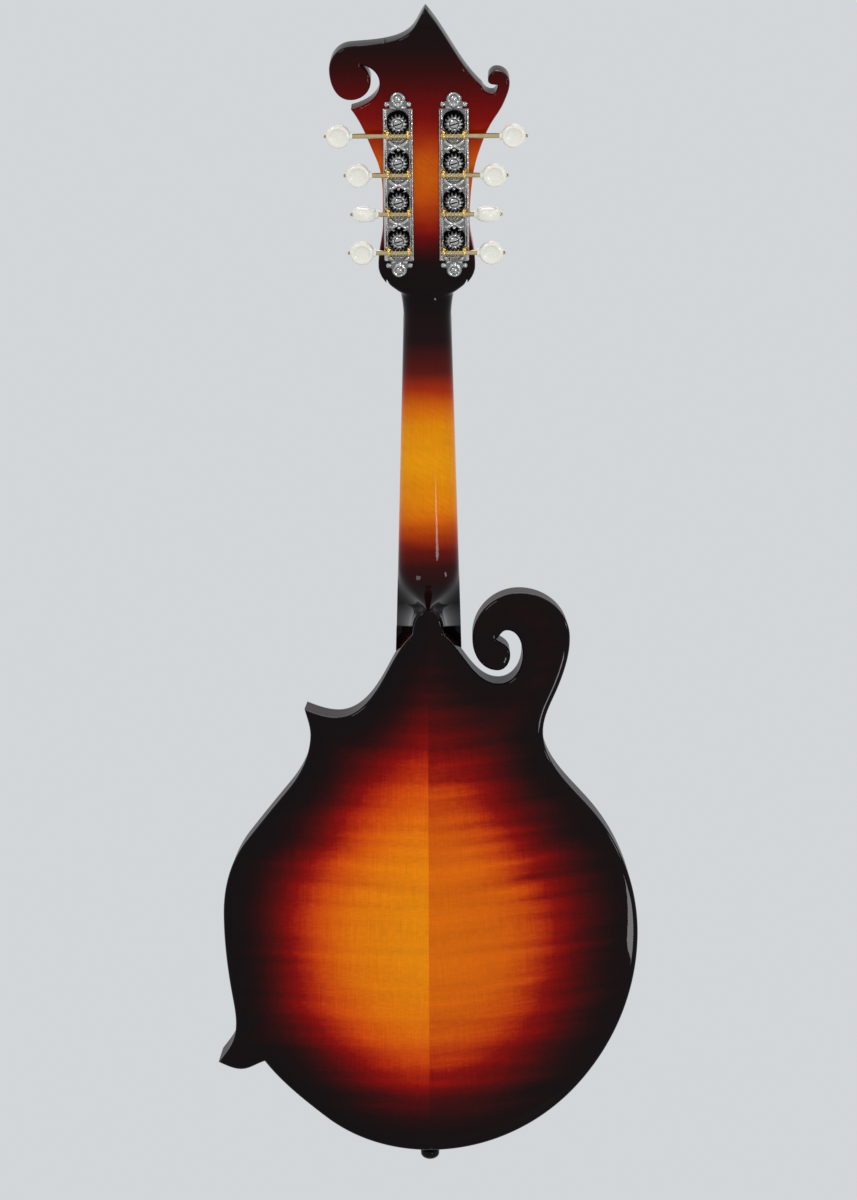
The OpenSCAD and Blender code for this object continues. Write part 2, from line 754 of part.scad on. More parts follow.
module upright(d, y0, y1) {
    translate([0, y0, 0]) rotate([-90, 0, 0]) cylinder(d = d, h = y1 - y0);
}
module bridge_base() {
    half = bridge_l / 2;
    shoulder = stud_gap / 2 + 8;
    arch_half = 13;
    color([0.08, 0.06, 0.05]) in_body() difference() {
        translate([0, 0, bridge_z - bridge_t / 2]) linear_extrude(bridge_t) polygon(concat(
            [for (i = [-12:12]) let (x = half * i / 12) [x, top_y(x) + foot_gap]],
            [[half, top_y(half) + 2.6], [half - 7, top_y(half - 7) + 3],
             [shoulder, base_top], [-shoulder, base_top],
             [7 - half, top_y(half - 7) + 3], [-half, top_y(half) + 2.6]]));
        // The feet stand apart, with a low arch between them.
        translate([0, 0, bridge_z - bridge_t]) linear_extrude(2 * bridge_t) polygon(
            [for (i = [0:12]) let (a = 180 * i / 12)
                [arch_half * cos(a), top_y(0) - 1 + 2.8 * sin(a)]]);
        studs() upright(stud_d, base_top - 6, base_top + cut);
    }
}
module bridge_studs() {
    color("silver") in_body() studs() upright(stud_d, base_top - 6 + bed, stud_top);
}
module bridge_saddle() {
    color([0.08, 0.06, 0.05]) in_body() difference() {
        intersection() {
            // Seen along the strings: two ears over the studs and a long crown.
            translate([0, 0, bridge_z - saddle_t]) linear_extrude(2 * saddle_t) polygon([
                [-saddle_end, saddle_foot], [saddle_end, saddle_foot],
                [saddle_end, saddle_foot + 3.4], [saddle_end - 3, saddle_foot + 4.4],
                [26, saddle_y], [-26, saddle_y],
                [3 - saddle_end, saddle_foot + 4.4], [-saddle_end, saddle_foot + 3.4]]);
            // Seen from its end: thick at the foot, narrowing to the string line.
            translate([-saddle_end, 0, bridge_z]) rotate([90, 0, 90])
                linear_extrude(2 * saddle_end) polygon([
                    [saddle_foot, -saddle_t / 2], [saddle_foot + 3.4, -saddle_t / 2],
                    [saddle_y - 1, -1.6], [saddle_y, -0.5], [saddle_y, 0.3],
                    [saddle_y - 0.7, 1.8], [saddle_foot + 3.4, saddle_t / 2],
                    [saddle_foot, saddle_t / 2]]);
        }
        studs() upright(stud_d + 2 * run_gap, saddle_foot - cut, stud_top + saddle_drop + 0.3);
        // Two long slots lighten the middle of the saddle.
        translate([-18, saddle_foot - cut, bridge_z - saddle_t])
            cube([36, 2.2 + cut, 2 * saddle_t]);
    }
}
module thumbwheel(side) {
    color("gold") in_body() translate([side * stud_gap / 2, thumb_top - thumb_t, bridge_z])
        rotate([-90, 0, 0]) difference() {
            linear_extrude(thumb_t) difference() {
                circle(d = thumb_d);
                for (a = [0:15:345]) rotate(a) translate([thumb_d / 2, 0]) rotate(45)
                    square(0.7, center = true);
            }
            translate([0, 0, -cut]) cylinder(d = stud_d + 2 * run_gap, h = thumb_t + 2 * cut);
        }
}
module thumbwheel_bass() { thumbwheel(1); }
module thumbwheel_treble() { thumbwheel(-1); }

// ---- Tailpiece: an angled base on the tail, and a cover that slides on over it
base_w = tail_w - 2 * sheet_t - 0.6;
leg_y = -9;
module tail_screw_spots() {
    for (p = [[-11, 9], [11, 9], [0, 15]]) translate([p.x, p.y, 0]) children();
}
module tail_screw_holes() {
    tail_screw_spots() translate([0, 0, -cut - sheet_t]) cylinder(d = 2 + 2 * bed, h = 14);
}
module tailpiece_base() {
    color("silver") in_body() difference() {
        union() {
            // The leg that the end pin and the screws hold.
            translate([0, 0, -sheet_t]) linear_extrude(sheet_t) {
                translate([-base_w / 2, 4]) square([base_w, sheet_y + sheet_t - 4]);
                translate([-9, leg_y + 9]) square([18, 5 - leg_y]);
                translate([0, leg_y + 9]) circle(9);
            }
            slab(sheet_y, sheet_y + sheet_t)
                translate([-base_w / 2, -sheet_t]) square([base_w, tail_l - 4]);
            for (k = [0:7])
                translate([string_x(k, tail_spread, tail_pair), sheet_y, hook_z])
                    rotate([-90, 0, 0]) cylinder(d = 2, h = sheet_t + 3.2, $fn = 20);
        }
        translate([0, 0, -cut]) end_pin_hole();
        tail_screw_holes();
    }
}
module tailpiece_screws() {
    color("silver") in_body() tail_screw_spots() {
        cylinder(d = 2, h = 12);
        translate([0, 0, -sheet_t]) cylinder(d = 2, h = sheet_t);
        translate([0, 0, -sheet_t - 1.1]) cylinder(d1 = 2.6, d2 = 4, h = 1.1);
    }
}
cover_rise = 15;
// Section of the cover, seen from its end: a flat crown with rounded shoulders.
module cover_section(t) {
    half = tail_w / 2 - t;
    r = 5 - t;
    polygon(concat(
        [[-half, cover_y], [half, cover_y]],
        [for (a = [0:15:90])
            [half - r + r * cos(a), cover_y + cover_rise - t - r + r * sin(a)]],
        [for (a = [90:15:180])
            [r - half + r * cos(a), cover_y + cover_rise - t - r + r * sin(a)]]));
}
module tailpiece_cover() {
    lip = 1;
    color("gainsboro") in_body() {
        difference() {
            translate([0, 0, -sheet_t - 0.3]) linear_extrude(tail_l) cover_section(0);
            translate([0, 0, -sheet_t - 0.3 - cut]) linear_extrude(tail_l + 2 * cut)
                difference() {
                    cover_section(sheet_t);
                    // Lips under the edges of the base hold the cover down.
                    for (side = [1, -1]) translate([side * (tail_w / 2 - sheet_t), cover_y])
                        square([2 * lip, 1.8], center = true);
                }
            // At the tail the lips stop short of the base's leg.
            translate([sheet_t - tail_w / 2, cover_y - cut, -2 * sheet_t])
                cube([tail_w - 2 * sheet_t, 2 + cut, 2 * sheet_t + 0.6]);
            // Below the lips the section is open.
            translate([-tail_w / 2 + sheet_t + lip, cover_y - cut, -cut - sheet_t - 0.3])
                cube([tail_w - 2 * sheet_t - 2 * lip, 2 * cut, tail_l + 2 * cut]);
        }
    }
}

// ---- Tuners, on the back of the headstock in its own frame
back_y = -head_t;
plate_face = back_y - plate_t;
tooth_pitch = 2 * 180 * (gear_gap - worm_r) / wheel_teeth * PI / 180;
worm_tip = worm_r + 0.6;
worm_root = worm_r - 0.8;
worm_y = plate_face - worm_tip - 0.3;
worm_drop = gear_gap;
ear_x = 6;
ear_w = 1.6;
bushing_hole = 8;
function side_of(side) = side == "bass" ? 1 : -1;
module at_station(side, i) {
    in_head() translate([side_of(side) * post_x, 0, post_s(i)]) children();
}
module post_holes() {
    for (side = ["bass", "treble"], i = [0:3])
        translate([side_of(side) * post_x, -2 * head_t, post_s(i)])
            rotate([-90, 0, 0]) cylinder(d = bushing_hole, h = 4 * head_t);
}
module post_bushings() {
    sleeve = 7;
    color("silver") for (side = ["bass", "treble"], i = [0:3]) at_station(side, i)
        rotate([-90, 0, 0]) difference() {
            union() {
                translate([0, 0, veneer_t - sleeve]) cylinder(d = bushing_hole - 2 * bed, h = sleeve);
                translate([0, 0, veneer_t + bed]) cylinder(d1 = 10.4, d2 = 9, h = 1.2);
            }
            translate([0, 0, -head_t]) cylinder(d = post_d + 2 * run_gap, h = 2 * head_t);
        }
}
plate_low = post_start - 14;
plate_high = post_start + 3 * post_pitch + 8;
finial_r = 4.6;
module plate_shape() {
    translate([-plate_w / 2, plate_low]) square([plate_w, plate_high - plate_low]);
    for (end = [-1, 1]) translate([0, end > 0 ? plate_high : plate_low]) {
        translate([0, end * 5.4]) circle(finial_r);
        translate([0, end * 1.5]) square([10.5, 6], center = true);
        for (spur = [-1, 1]) translate([spur * 6.3, end * 2.6]) circle(1.7, $fn = 20);
    }
}
module plate_screw_spots(side) {
    in_head() for (end = [-1, 1])
        translate([side_of(side) * post_x, 0,
                   (end > 0 ? plate_high : plate_low) + end * 5.8]) children();
}
module tuner_plate(side) {
    color("silver") difference() {
        in_head() translate([side_of(side) * post_x, 0, 0]) {
            slab(plate_face, back_y) plate_shape();
            // The inner edge is turned up into a stiffening flange.
            translate([side_of(side) * -plate_w / 2 - (side == "treble" ? 1 : 0),
                       plate_face - 0.8, plate_low])
                cube([1, 0.8 + plate_t, plate_high - plate_low]);
            for (i = [0:3], ear = [-1, 1])
                translate([ear * ear_x - ear_w / 2, 0, post_s(i) - worm_drop])
                    rotate([90, 0, 90]) linear_extrude(ear_w) {
                        translate([worm_y, -2.4]) square([plate_face + bed - worm_y, 4.8]);
                        translate([worm_y, 0]) circle(2.4);
                    }
        }
        for (i = [0:3]) at_station(side, i) {
            translate([-2 * plate_w, worm_y, -worm_drop]) rotate([0, 90, 0])
                cylinder(d = shaft_d + 2 * run_gap, h = 4 * plate_w);
            translate([0, plate_face - cut, 0]) rotate([-90, 0, 0])
                cylinder(d = post_d + 2 * run_gap, h = plate_t + 2 * cut);
        }
        plate_screw_spots(side) rotate([90, 0, 0]) cylinder(d = 2.2, h = 2 * head_t);
    }
}
module tuner_plate_bass() { tuner_plate("bass"); }
module tuner_plate_treble() { tuner_plate("treble"); }
module tuner_plate_screws() {
    color("silver") for (side = ["bass", "treble"]) plate_screw_spots(side)
        translate([0, plate_face - bed, 0]) rotate([90, 0, 0])
            intersection() {
                cylinder(d = 3.8, h = 1.2);
                translate([0, 0, -1.8]) sphere(r = 2.9);
            }
}

// A worm's thread: one trapezium swept along its helix, with a crest facing the wheel at x = 0.
thread_half = 4.3;
thread_step = 30;
module worm_thread() {
    reach = floor(thread_half / tooth_pitch * 360 / thread_step) * thread_step;
    foot = [0.5, worm_root - 0.35];
    crest = [0.2, worm_tip];
    rings = [for (a = [-reach:thread_step:reach])
        [for (c = [[-foot[0], foot[1]], [-crest[0], crest[1]], [crest[0], crest[1]],
                   [foot[0], foot[1]]])
            [c[0] + tooth_pitch * a / 360, c[1] * -sin(a), c[1] * cos(a)]]];
    skin([for (i = [len(rings) - 1:-1:0]) rings[i]]);
}
button_reach = [39, 37.2, 40.8, 52.2];
button_turn = [0, 90, 0, 0];
shaft_in = ear_x + ear_w / 2 + 1;
button_hub = 3;
function button_x(i) = button_reach[i] * hx - post_x;
module worm(side, i) {
    color("silver") at_station(side, i) mirror([side == "bass" ? 0 : 1, 0, 0])
        translate([0, worm_y, -worm_drop]) rotate([0, 90, 0]) {
            translate([0, 0, -shaft_in])
                cylinder(d = shaft_d, h = shaft_in + button_x(i) + button_d / 2);
            cylinder(r = worm_root, h = 2 * (ear_x - ear_w / 2 - 0.15), center = true);
            translate([0, 0, button_x(i) + button_d / 2]) cylinder(d = 2.6, h = 1.4);
        }
    color("silver") at_station(side, i) translate([0, worm_y, -worm_drop]) worm_thread();
}
module button(side, i) {
    dish = 0.7;
    color("ivory") at_station(side, i) mirror([side == "bass" ? 0 : 1, 0, 0])
        translate([button_x(i), worm_y, -worm_drop]) rotate([button_turn[i], 0, 0])
            difference() {
                union() {
                    rotate([90, 0, 0]) rotate_extrude() polygon([
                        [0, dish - button_t / 2], [button_d / 2 - 3, dish - button_t / 2],
                        [button_d / 2 - 1.6, -button_t / 2], [button_d / 2 - 0.5, 0.9 - button_t / 2],
                        [button_d / 2, 2 - button_t / 2], [button_d / 2, button_t / 2 - 2],
                        [button_d / 2 - 0.5, button_t / 2 - 0.9], [button_d / 2 - 1.6, button_t / 2],
                        [button_d / 2 - 3, button_t / 2 - dish], [0, button_t / 2 - dish]]);
                    translate([-button_d / 2 - 1.2, 0, 0]) rotate([0, 90, 0])
                        cylinder(d = 5, h = 3);
                }
                translate([-button_d, 0, 0]) rotate([0, 90, 0])
                    cylinder(d = shaft_d, h = 2 * button_d);
            }
}
wheel_tip = gear_gap - worm_root - 0.2;
wheel_root = gear_gap - worm_tip - 0.25;
// One tooth of the worm wheel, from a wide foot to a narrow tip.
module wheel_outline() {
    step = 360 / wheel_teeth;
    foot = 0.42 / wheel_root * 180 / PI;
    tip = 0.26 / wheel_tip * 180 / PI;
    polygon([for (n = [0:wheel_teeth - 1]) let (a = -90 + (n + 0.5) * step)
        each [wheel_root * heading(a - foot), wheel_tip * heading(a - tip),
              wheel_tip * heading(a + tip), wheel_root * heading(a + foot)]]);
}
wraps = 3;
function gauge_at(side, i) = gauges[side == "treble" ? i : 7 - i];
module post(side, i) {
    g = gauge_at(side, i);
    color("silver") at_station(side, i) {
        difference() {
            union() {
                translate([0, worm_y - wheel_t / 2, 0]) rotate([-90, 0, 0])
                    cylinder(d = post_d, h = veneer_t + post_h + wheel_t / 2 - worm_y);
                slab(worm_y - wheel_t / 2, worm_y + wheel_t / 2) wheel_outline();
                slab(worm_y + wheel_t / 2 - bed, plate_face - run_gap) circle(d = post_d + 1.6);
                translate([0, veneer_t + post_h, 0]) rotate([-90, 0, 0])
                    cylinder(d1 = post_d, d2 = post_d - 1.6, h = 1);
            }
            translate([0, wrap_y + 3, 0]) cylinder(d = 1.6, h = 2 * post_d, center = true);
            translate([0, worm_y - wheel_t / 2 - cut, 0]) rotate([-90, 0, 0])
                cylinder(d = 2.2, h = 4 + cut);
        }
        // The screw that holds the wheel.
        translate([0, worm_y - wheel_t / 2 + 4 - bed, 0]) rotate([90, 0, 0]) cylinder(d = 2.16, h = 4);
        translate([0, worm_y - wheel_t / 2 - bed, 0]) rotate([90, 0, 0])
            cylinder(d1 = 5, d2 = 3.6, h = 1.2);
    }
    color("gold") at_station(side, i) for (n = [0:wraps - 1])
        translate([0, wrap_y - n * g * 1.02, 0]) rotate([90, 0, 0])
            rotate_extrude() translate([post_r + g / 2 + bed, 0]) circle(d = g, $fn = 14);
}
module button_bass_1() { button("bass", 0); }
module button_bass_2() { button("bass", 1); }
module button_bass_3() { button("bass", 2); }
module button_bass_4() { button("bass", 3); }
module button_treble_1() { button("treble", 0); }
module button_treble_2() { button("treble", 1); }
module button_treble_3() { button("treble", 2); }
module button_treble_4() { button("treble", 3); }
module worm_bass_1() { worm("bass", 0); }
module worm_bass_2() { worm("bass", 1); }
module worm_bass_3() { worm("bass", 2); }
module worm_bass_4() { worm("bass", 3); }
module worm_treble_1() { worm("treble", 0); }
module worm_treble_2() { worm("treble", 1); }
module worm_treble_3() { worm("treble", 2); }
module worm_treble_4() { worm("treble", 3); }
module post_bass_1() { post("bass", 0); }
module post_bass_2() { post("bass", 1); }
module post_bass_3() { post("bass", 2); }
module post_bass_4() { post("bass", 3); }
module post_treble_1() { post("treble", 0); }
module post_treble_2() { post("treble", 1); }
module post_treble_3() { post("treble", 2); }
module post_treble_4() { post("treble", 3); }

back_bass_half();
back_treble_half();
soundboard();
ribs();
back_lining();
top_lining();
head_block();
tail_block();
point_blocks();
tone_bars();
neck();
headstock_wings();
headstock_veneer();
truss_rod();
truss_rod_cover();
truss_cover_screws();
nut();
fingerboard();
frets();
fret_markers();
bridge_base();
bridge_studs();
bridge_saddle();
thumbwheel_bass();
thumbwheel_treble();
tailpiece_base();
tailpiece_cover();
tailpiece_screws();
end_pin();
strings();
tuner_plate_bass();
tuner_plate_treble();
tuner_plate_screws();
post_bushings();
button_bass_1();
button_bass_2();
button_bass_3();
button_bass_4();
button_treble_1();
button_treble_2();
button_treble_3();
button_treble_4();
worm_bass_1();
worm_bass_2();
worm_bass_3();
worm_bass_4();
worm_treble_1();
worm_treble_2();
worm_treble_3();
worm_treble_4();
post_bass_1();
post_bass_2();
post_bass_3();
post_bass_4();
post_treble_1();
post_treble_2();
post_treble_3();
post_treble_4();
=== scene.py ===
# %% [markdown]
# # A scroll-body mandolin, hung up and seen from behind
# This lesson dresses a mandolin whose working parts were already made as exact solids.
# Those solids are the frame: they give every size and place, and they stay where they are.
# Here each visible surface gets its finish, and the curved pieces get finer meshes.

# %% Load the frame
import json
import math

import bmesh
import bpy
import numpy as np
from mathutils.geometry import delaunay_2d_cdt
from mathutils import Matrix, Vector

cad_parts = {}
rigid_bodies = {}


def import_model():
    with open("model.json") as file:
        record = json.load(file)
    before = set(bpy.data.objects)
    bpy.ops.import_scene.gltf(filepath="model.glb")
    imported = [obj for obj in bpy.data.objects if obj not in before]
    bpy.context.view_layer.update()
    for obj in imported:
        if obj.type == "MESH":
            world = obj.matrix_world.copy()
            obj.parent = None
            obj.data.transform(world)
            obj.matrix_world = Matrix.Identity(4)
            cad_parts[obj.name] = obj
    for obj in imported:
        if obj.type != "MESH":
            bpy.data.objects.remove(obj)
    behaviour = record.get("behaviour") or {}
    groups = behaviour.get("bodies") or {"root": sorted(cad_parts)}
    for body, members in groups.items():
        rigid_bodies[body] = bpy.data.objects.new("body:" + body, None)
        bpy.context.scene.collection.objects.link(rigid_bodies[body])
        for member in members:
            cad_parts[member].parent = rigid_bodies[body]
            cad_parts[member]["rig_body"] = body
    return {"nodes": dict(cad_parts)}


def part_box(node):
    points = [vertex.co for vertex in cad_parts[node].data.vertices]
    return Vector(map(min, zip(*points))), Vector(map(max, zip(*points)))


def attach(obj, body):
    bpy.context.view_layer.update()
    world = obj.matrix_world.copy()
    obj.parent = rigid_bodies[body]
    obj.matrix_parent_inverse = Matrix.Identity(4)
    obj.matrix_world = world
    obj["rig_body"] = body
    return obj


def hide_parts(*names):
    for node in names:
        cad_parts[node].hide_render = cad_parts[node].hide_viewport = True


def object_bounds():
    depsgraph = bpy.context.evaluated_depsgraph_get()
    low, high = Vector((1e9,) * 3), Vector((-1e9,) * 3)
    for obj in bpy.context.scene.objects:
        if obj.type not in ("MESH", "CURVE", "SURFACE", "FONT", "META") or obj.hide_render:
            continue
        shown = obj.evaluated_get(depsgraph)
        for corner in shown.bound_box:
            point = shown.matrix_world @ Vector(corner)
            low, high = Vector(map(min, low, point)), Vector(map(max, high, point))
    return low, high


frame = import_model()
cad_box = [list(corner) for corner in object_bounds()]
print("the solids reach from", cad_box[0], "to", cad_box[1])

# %% [markdown]
# ## Where things are
# An instrument has three planes: the body, the neck that leans back from it, and the
# headstock that leans back from the neck. Shapes are drawn flat in millimetres, as on a
# maker's template, and one function for each plane puts them in place, in metres.
# The planes' own places are read from the solids, so nothing is fitted by eye.

# %% The three planes
MM = 0.001
NECK_LEAN, HEAD_LEAN, NUT_T = 5.5, 18.0, 4.5
rib_low, rib_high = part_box("ribs")
RIM = (rib_high.y - rib_low.y) / 2 / MM
NECK_Y = -(rib_low.y + rib_high.y) / 2 / MM
NUT_Z = -rib_low.z / MM
JOINT_Z = 320.0


def leaned(points, degrees):
    c, s = math.cos(math.radians(degrees)), math.sin(math.radians(degrees))
    return np.asarray(points, float) @ np.array([[1, 0, 0], [0, c, s], [0, -s, c]])


def in_body(points):
    return (np.asarray(points, float) - [0, NECK_Y, NUT_Z]) * MM


def in_neck(points):
    return leaned(points, NECK_LEAN) * MM


def in_head(points):
    return (leaned(points, HEAD_LEAN) + leaned([0, 0, NUT_T], NECK_LEAN)) * MM


print(f"rim half height {RIM:.2f}, neck axis {NECK_Y:.2f} above the rim, nut at {NUT_Z:.1f} mm")

# %% [markdown]
# ## The camera
# The mandolin hangs from its headstock and is seen square-on from behind, from about two
# metres away. A long lens keeps the outline true. Azimuth 0 looks along +Y.

# %% A long lens, square to the back
camera = bpy.data.objects.new("camera", bpy.data.cameras.new("camera"))
bpy.context.scene.collection.objects.link(camera)
camera.data.lens = 94.6
camera.data.sensor_width = 36
camera.location = (0.020, -1.936, -0.0026)
camera.rotation_euler = (math.radians(90 - 5.37), math.radians(0.2), math.radians(0.57))
bpy.context.scene.camera = camera
print("camera", tuple(camera.location), "lens", camera.data.lens)

# %% [markdown]
# ## Small tools for nodes and meshes
# Materials and Geometry Nodes are both node trees, so one function that adds a node with
# its settings and links serves both. Colours are written as the hex values that a paint
# chart gives (sRGB), and turned into the linear numbers that light is reckoned with.

# %% One function for colours, one for nodes
def colour(code):
    parts = [int(code[i:i + 2], 16) / 255 for i in (1, 3, 5)]
    return [c / 12.92 if c <= 0.04045 else ((c + 0.055) / 1.055) ** 2.4 for c in parts] + [1]


def add(tree, kind, *inputs, **settings):
    """Adds a node and gives its first output. Inputs go in order, or by name as settings:
    another node's output is linked, a plain value is set, None is left as it is."""
    made = tree.nodes.new(kind)
    wanted = list(enumerate(inputs))
    for name, value in settings.items():
        if hasattr(made, name):
            setattr(made, name, value)
        else:
            wanted.append((name, value))
    for name, value in wanted:
        if isinstance(value, bpy.types.NodeSocket):
            tree.links.new(value, made.inputs[name])
        elif value is not None:
            made.inputs[name].default_value = value
    return made.outputs[0] if made.outputs else made


def material(name, sockets):
    """A material with one Principled shader, its plain values on its own sockets."""
    made = bpy.data.materials.new(name)
    made.use_nodes = True
    made.node_tree.nodes.clear()
    surface = add(made.node_tree, "ShaderNodeBsdfPrincipled", **sockets)
    add(made.node_tree, "ShaderNodeOutputMaterial", surface)
    return made, made.node_tree, surface.node.inputs


def grain(tree, place, size, tilt=0.0, detail=2):
    """Cloudy patches of one size in metres along each axis, tilted in radians about Y."""
    sized = add(tree, "ShaderNodeMapping", place, vector_type="TEXTURE", Rotation=(0, tilt, 0),
                Scale=size)
    return add(tree, "ShaderNodeTexNoise", sized, Scale=1.0, Detail=detail)


def weighted(tree, offset, *terms):
    """offset + weight x pattern + weight x pattern + ..."""
    for pattern, weight in terms:
        offset = add(tree, "ShaderNodeMath", pattern, weight, offset, operation="MULTIPLY_ADD")
    return offset


def ramp(tree, level, stops, start=0.0, end=1.0):
    """Colours at given places between start and end, as on a paint chart."""
    share = add(tree, "ShaderNodeMapRange", level, start, end)
    painted = add(tree, "ShaderNodeValToRGB", share)
    elements = painted.node.color_ramp.elements
    while len(elements) < len(stops):
        elements.new(0.5)
    for element, (place, code) in zip(elements, stops):
        element.position = (place - start) / (end - start)
        element.color = colour(code)
    return painted


# %% [markdown]
# A piece is made from points and faces, shaded smooth except at real corners, and told
# which solid body carries it. Numbers kept on its points (attributes) can steer a finish.

# %% Turn points and faces into a piece
def piece_from(mesh, name, body="root", stands_for=()):
    piece = bpy.data.objects.new(name, mesh)
    bpy.context.scene.collection.objects.link(piece)
    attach(piece, body)
    if stands_for:
        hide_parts(*stands_for)
    print(f"{name}: {len(mesh.polygons)} faces")
    return piece


def mesh_piece(name, points, faces, finishes, body="root", stands_for=(),
               corner=35, finish_of=None, numbers=None):
    mesh = bpy.data.meshes.new(name)
    mesh.from_pydata(np.asarray(points, float).tolist(), [], faces)
    for finish in finishes:
        mesh.materials.append(finish)
    if finish_of is not None:
        mesh.polygons.foreach_set("material_index", finish_of)
    for key, values in (numbers or {}).items():
        mesh.attributes.new(key, "FLOAT", "POINT").data.foreach_set("value", values)
    mesh.shade_smooth()
    mesh.set_sharp_from_angle(angle=math.radians(corner))
    return piece_from(mesh, name, body, stands_for)


def joined(parts):
    """Several (points, faces) as one."""
    points, faces, start = [], [], 0
    for some, their_faces in parts:
        points.append(np.asarray(some, float))
        faces += [tuple(i + start for i in f) for f in their_faces]
        start += len(some)
    return np.vstack(points), faces


# %% [markdown]
# ## Drawing a maker's outline
# The scrolls and points are chains of smooth curves. Each row is a point and the heading
# of the pencil there; a corner has one heading in and another out. Between two rows runs
# one Bezier curve. The solids use the same rows with coarser steps.

# %% From rows to a fine outline
BODY_ROWS = [
    [0, 0, 0], [91, 41, 48], [128, 136, 90], [101, 211, 130], [70, 259, 93], [80, 290, 69],
    [86.3, 319, 92], [57, 345.5, 178], [27, 318, 268], [42, 298, 358], [50, 308.5, 95],
    [41.5, 317, 150, 45], [48, 322.5, 0], [57.5, 308, 270], [43, 290, 180],
    [25, 301.5, 128], [9.5, 320, 140, 95], [0, 335, 180], [-9.5, 320, 265, 222],
    [-28, 292, 240], [-56, 269.5, 180], [-75.5, 274.5, 158, 285], [-72, 258, 268],
    [-86, 225, 230], [-112, 193, 232], [-126, 148, 270], [-121, 96, 280], [-120, 72, 256],
    [-130, 55.5, 232, 336], [-116, 51, 0], [-101.5, 56, 16, 308], [-64, 21, 322]]
ARCH_ROWS = [
    [0, 12, 0], [80, 48, 47], [116, 136, 90], [107, 172, 106], [60, 250, 112],
    [0, 296, 180], [-46, 264, 236], [-78, 221, 232], [-107, 172, 250], [-114, 140, 270],
    [-103, 82, 287], [-66, 34, 316]]
HEAD_ROWS = [
    [0, 177, 131, 230], [-9, 163.3, 222], [-25, 156.8, 190], [-44.8, 154.8, 186],
    [-57, 140.8, 270], [-44.6, 122.6, 0], [-32.4, 133.5, 88], [-38.3, 143.8, 140, 352],
    [-27.3, 132.6, 270], [-44.4, 116.9, 193, 308], [-30.3, 88, 294], [-26.2, 58, 269],
    [-26.8, 40, 262], [-29.3, 20, 272], [-21.2, 6.3, 320], [-15.6, -3, 270, 0],
    [15.6, -3, 0, 90], [21.2, 6.3, 40], [29.3, 20, 88], [26.5, 40, 99], [26.3, 60, 86],
    [31, 89.3, 72], [38, 106.9, 62], [46.5, 121.3, 68], [49.7, 132.6, 90], [42, 140, 180],
    [36.8, 134.2, 272], [42.6, 131.5, 0, 262], [39.3, 126.2, 180], [33.5, 130.5, 110, 137]]


def heading(degrees):
    return np.array([math.cos(math.radians(degrees)), math.sin(math.radians(degrees))])


def outline(rows, turn=4.0, span=3.0):
    """One point for each few degrees of bend or millimetres of length."""
    points = []
    for a, b in zip(rows, rows[1:] + rows[:1]):
        start, end = np.array(a[:2], float), np.array(b[:2], float)
        step = end - start
        chord = math.degrees(math.atan2(step[1], step[0]))
        bend = sum(abs((v + 180) % 360 - 180) for v in (a[-1] - chord, b[2] - chord))
        reach = np.linalg.norm(step) / (3 * math.cos(math.radians(bend / 4)) ** 2)
        near, far = start + reach * heading(a[-1]), end - reach * heading(b[2])
        count = max(1, math.ceil(bend / turn), math.ceil(np.linalg.norm(step) / span))
        for t in np.arange(count) / count:
            u = 1 - t
            points.append(u**3 * start + 3*u*u*t * near + 3*u*t*t * far + t**3 * end)
    return np.array(points)


body_loop = outline(BODY_ROWS)
arch_loop = outline(ARCH_ROWS, 3.0, 4.0)
head_loop = outline(HEAD_ROWS)
print("outline points:", len(body_loop), "body,", len(head_loop), "headstock")

# %% [markdown]
# ## Filling an outline
# A carved plate is a sheet whose height changes smoothly. The outline is filled with even
# triangles (a constrained Delaunay fill), with closer rows of points just inside the edge,
# where the rounding is. Lines such as a glue seam are kept as edges.

# %% Distances and the fill
def edge_distance(points, loop):
    """How far each point is from a closed loop of segments."""
    a, b = loop, np.roll(loop, -1, axis=0)
    way = b - a
    length = (way ** 2).sum(1)
    best = np.full(len(points), 1e9)
    for start, step, square in zip(a, way, np.maximum(length, 1e-12)):
        t = np.clip(((points - start) @ step) / square, 0, 1)
        best = np.minimum(best, np.linalg.norm(points - start - t[:, None] * step, axis=1))
    return best


def inside(points, loop):
    x, y = points[:, 0], points[:, 1]
    odd = np.zeros(len(points), bool)
    for (x1, y1), (x2, y2) in zip(loop, np.roll(loop, -1, axis=0)):
        if y1 != y2:
            odd ^= ((y1 > y) != (y2 > y)) & (x < (x2 - x1) * (y - y1) / (y2 - y1) + x1)
    return odd


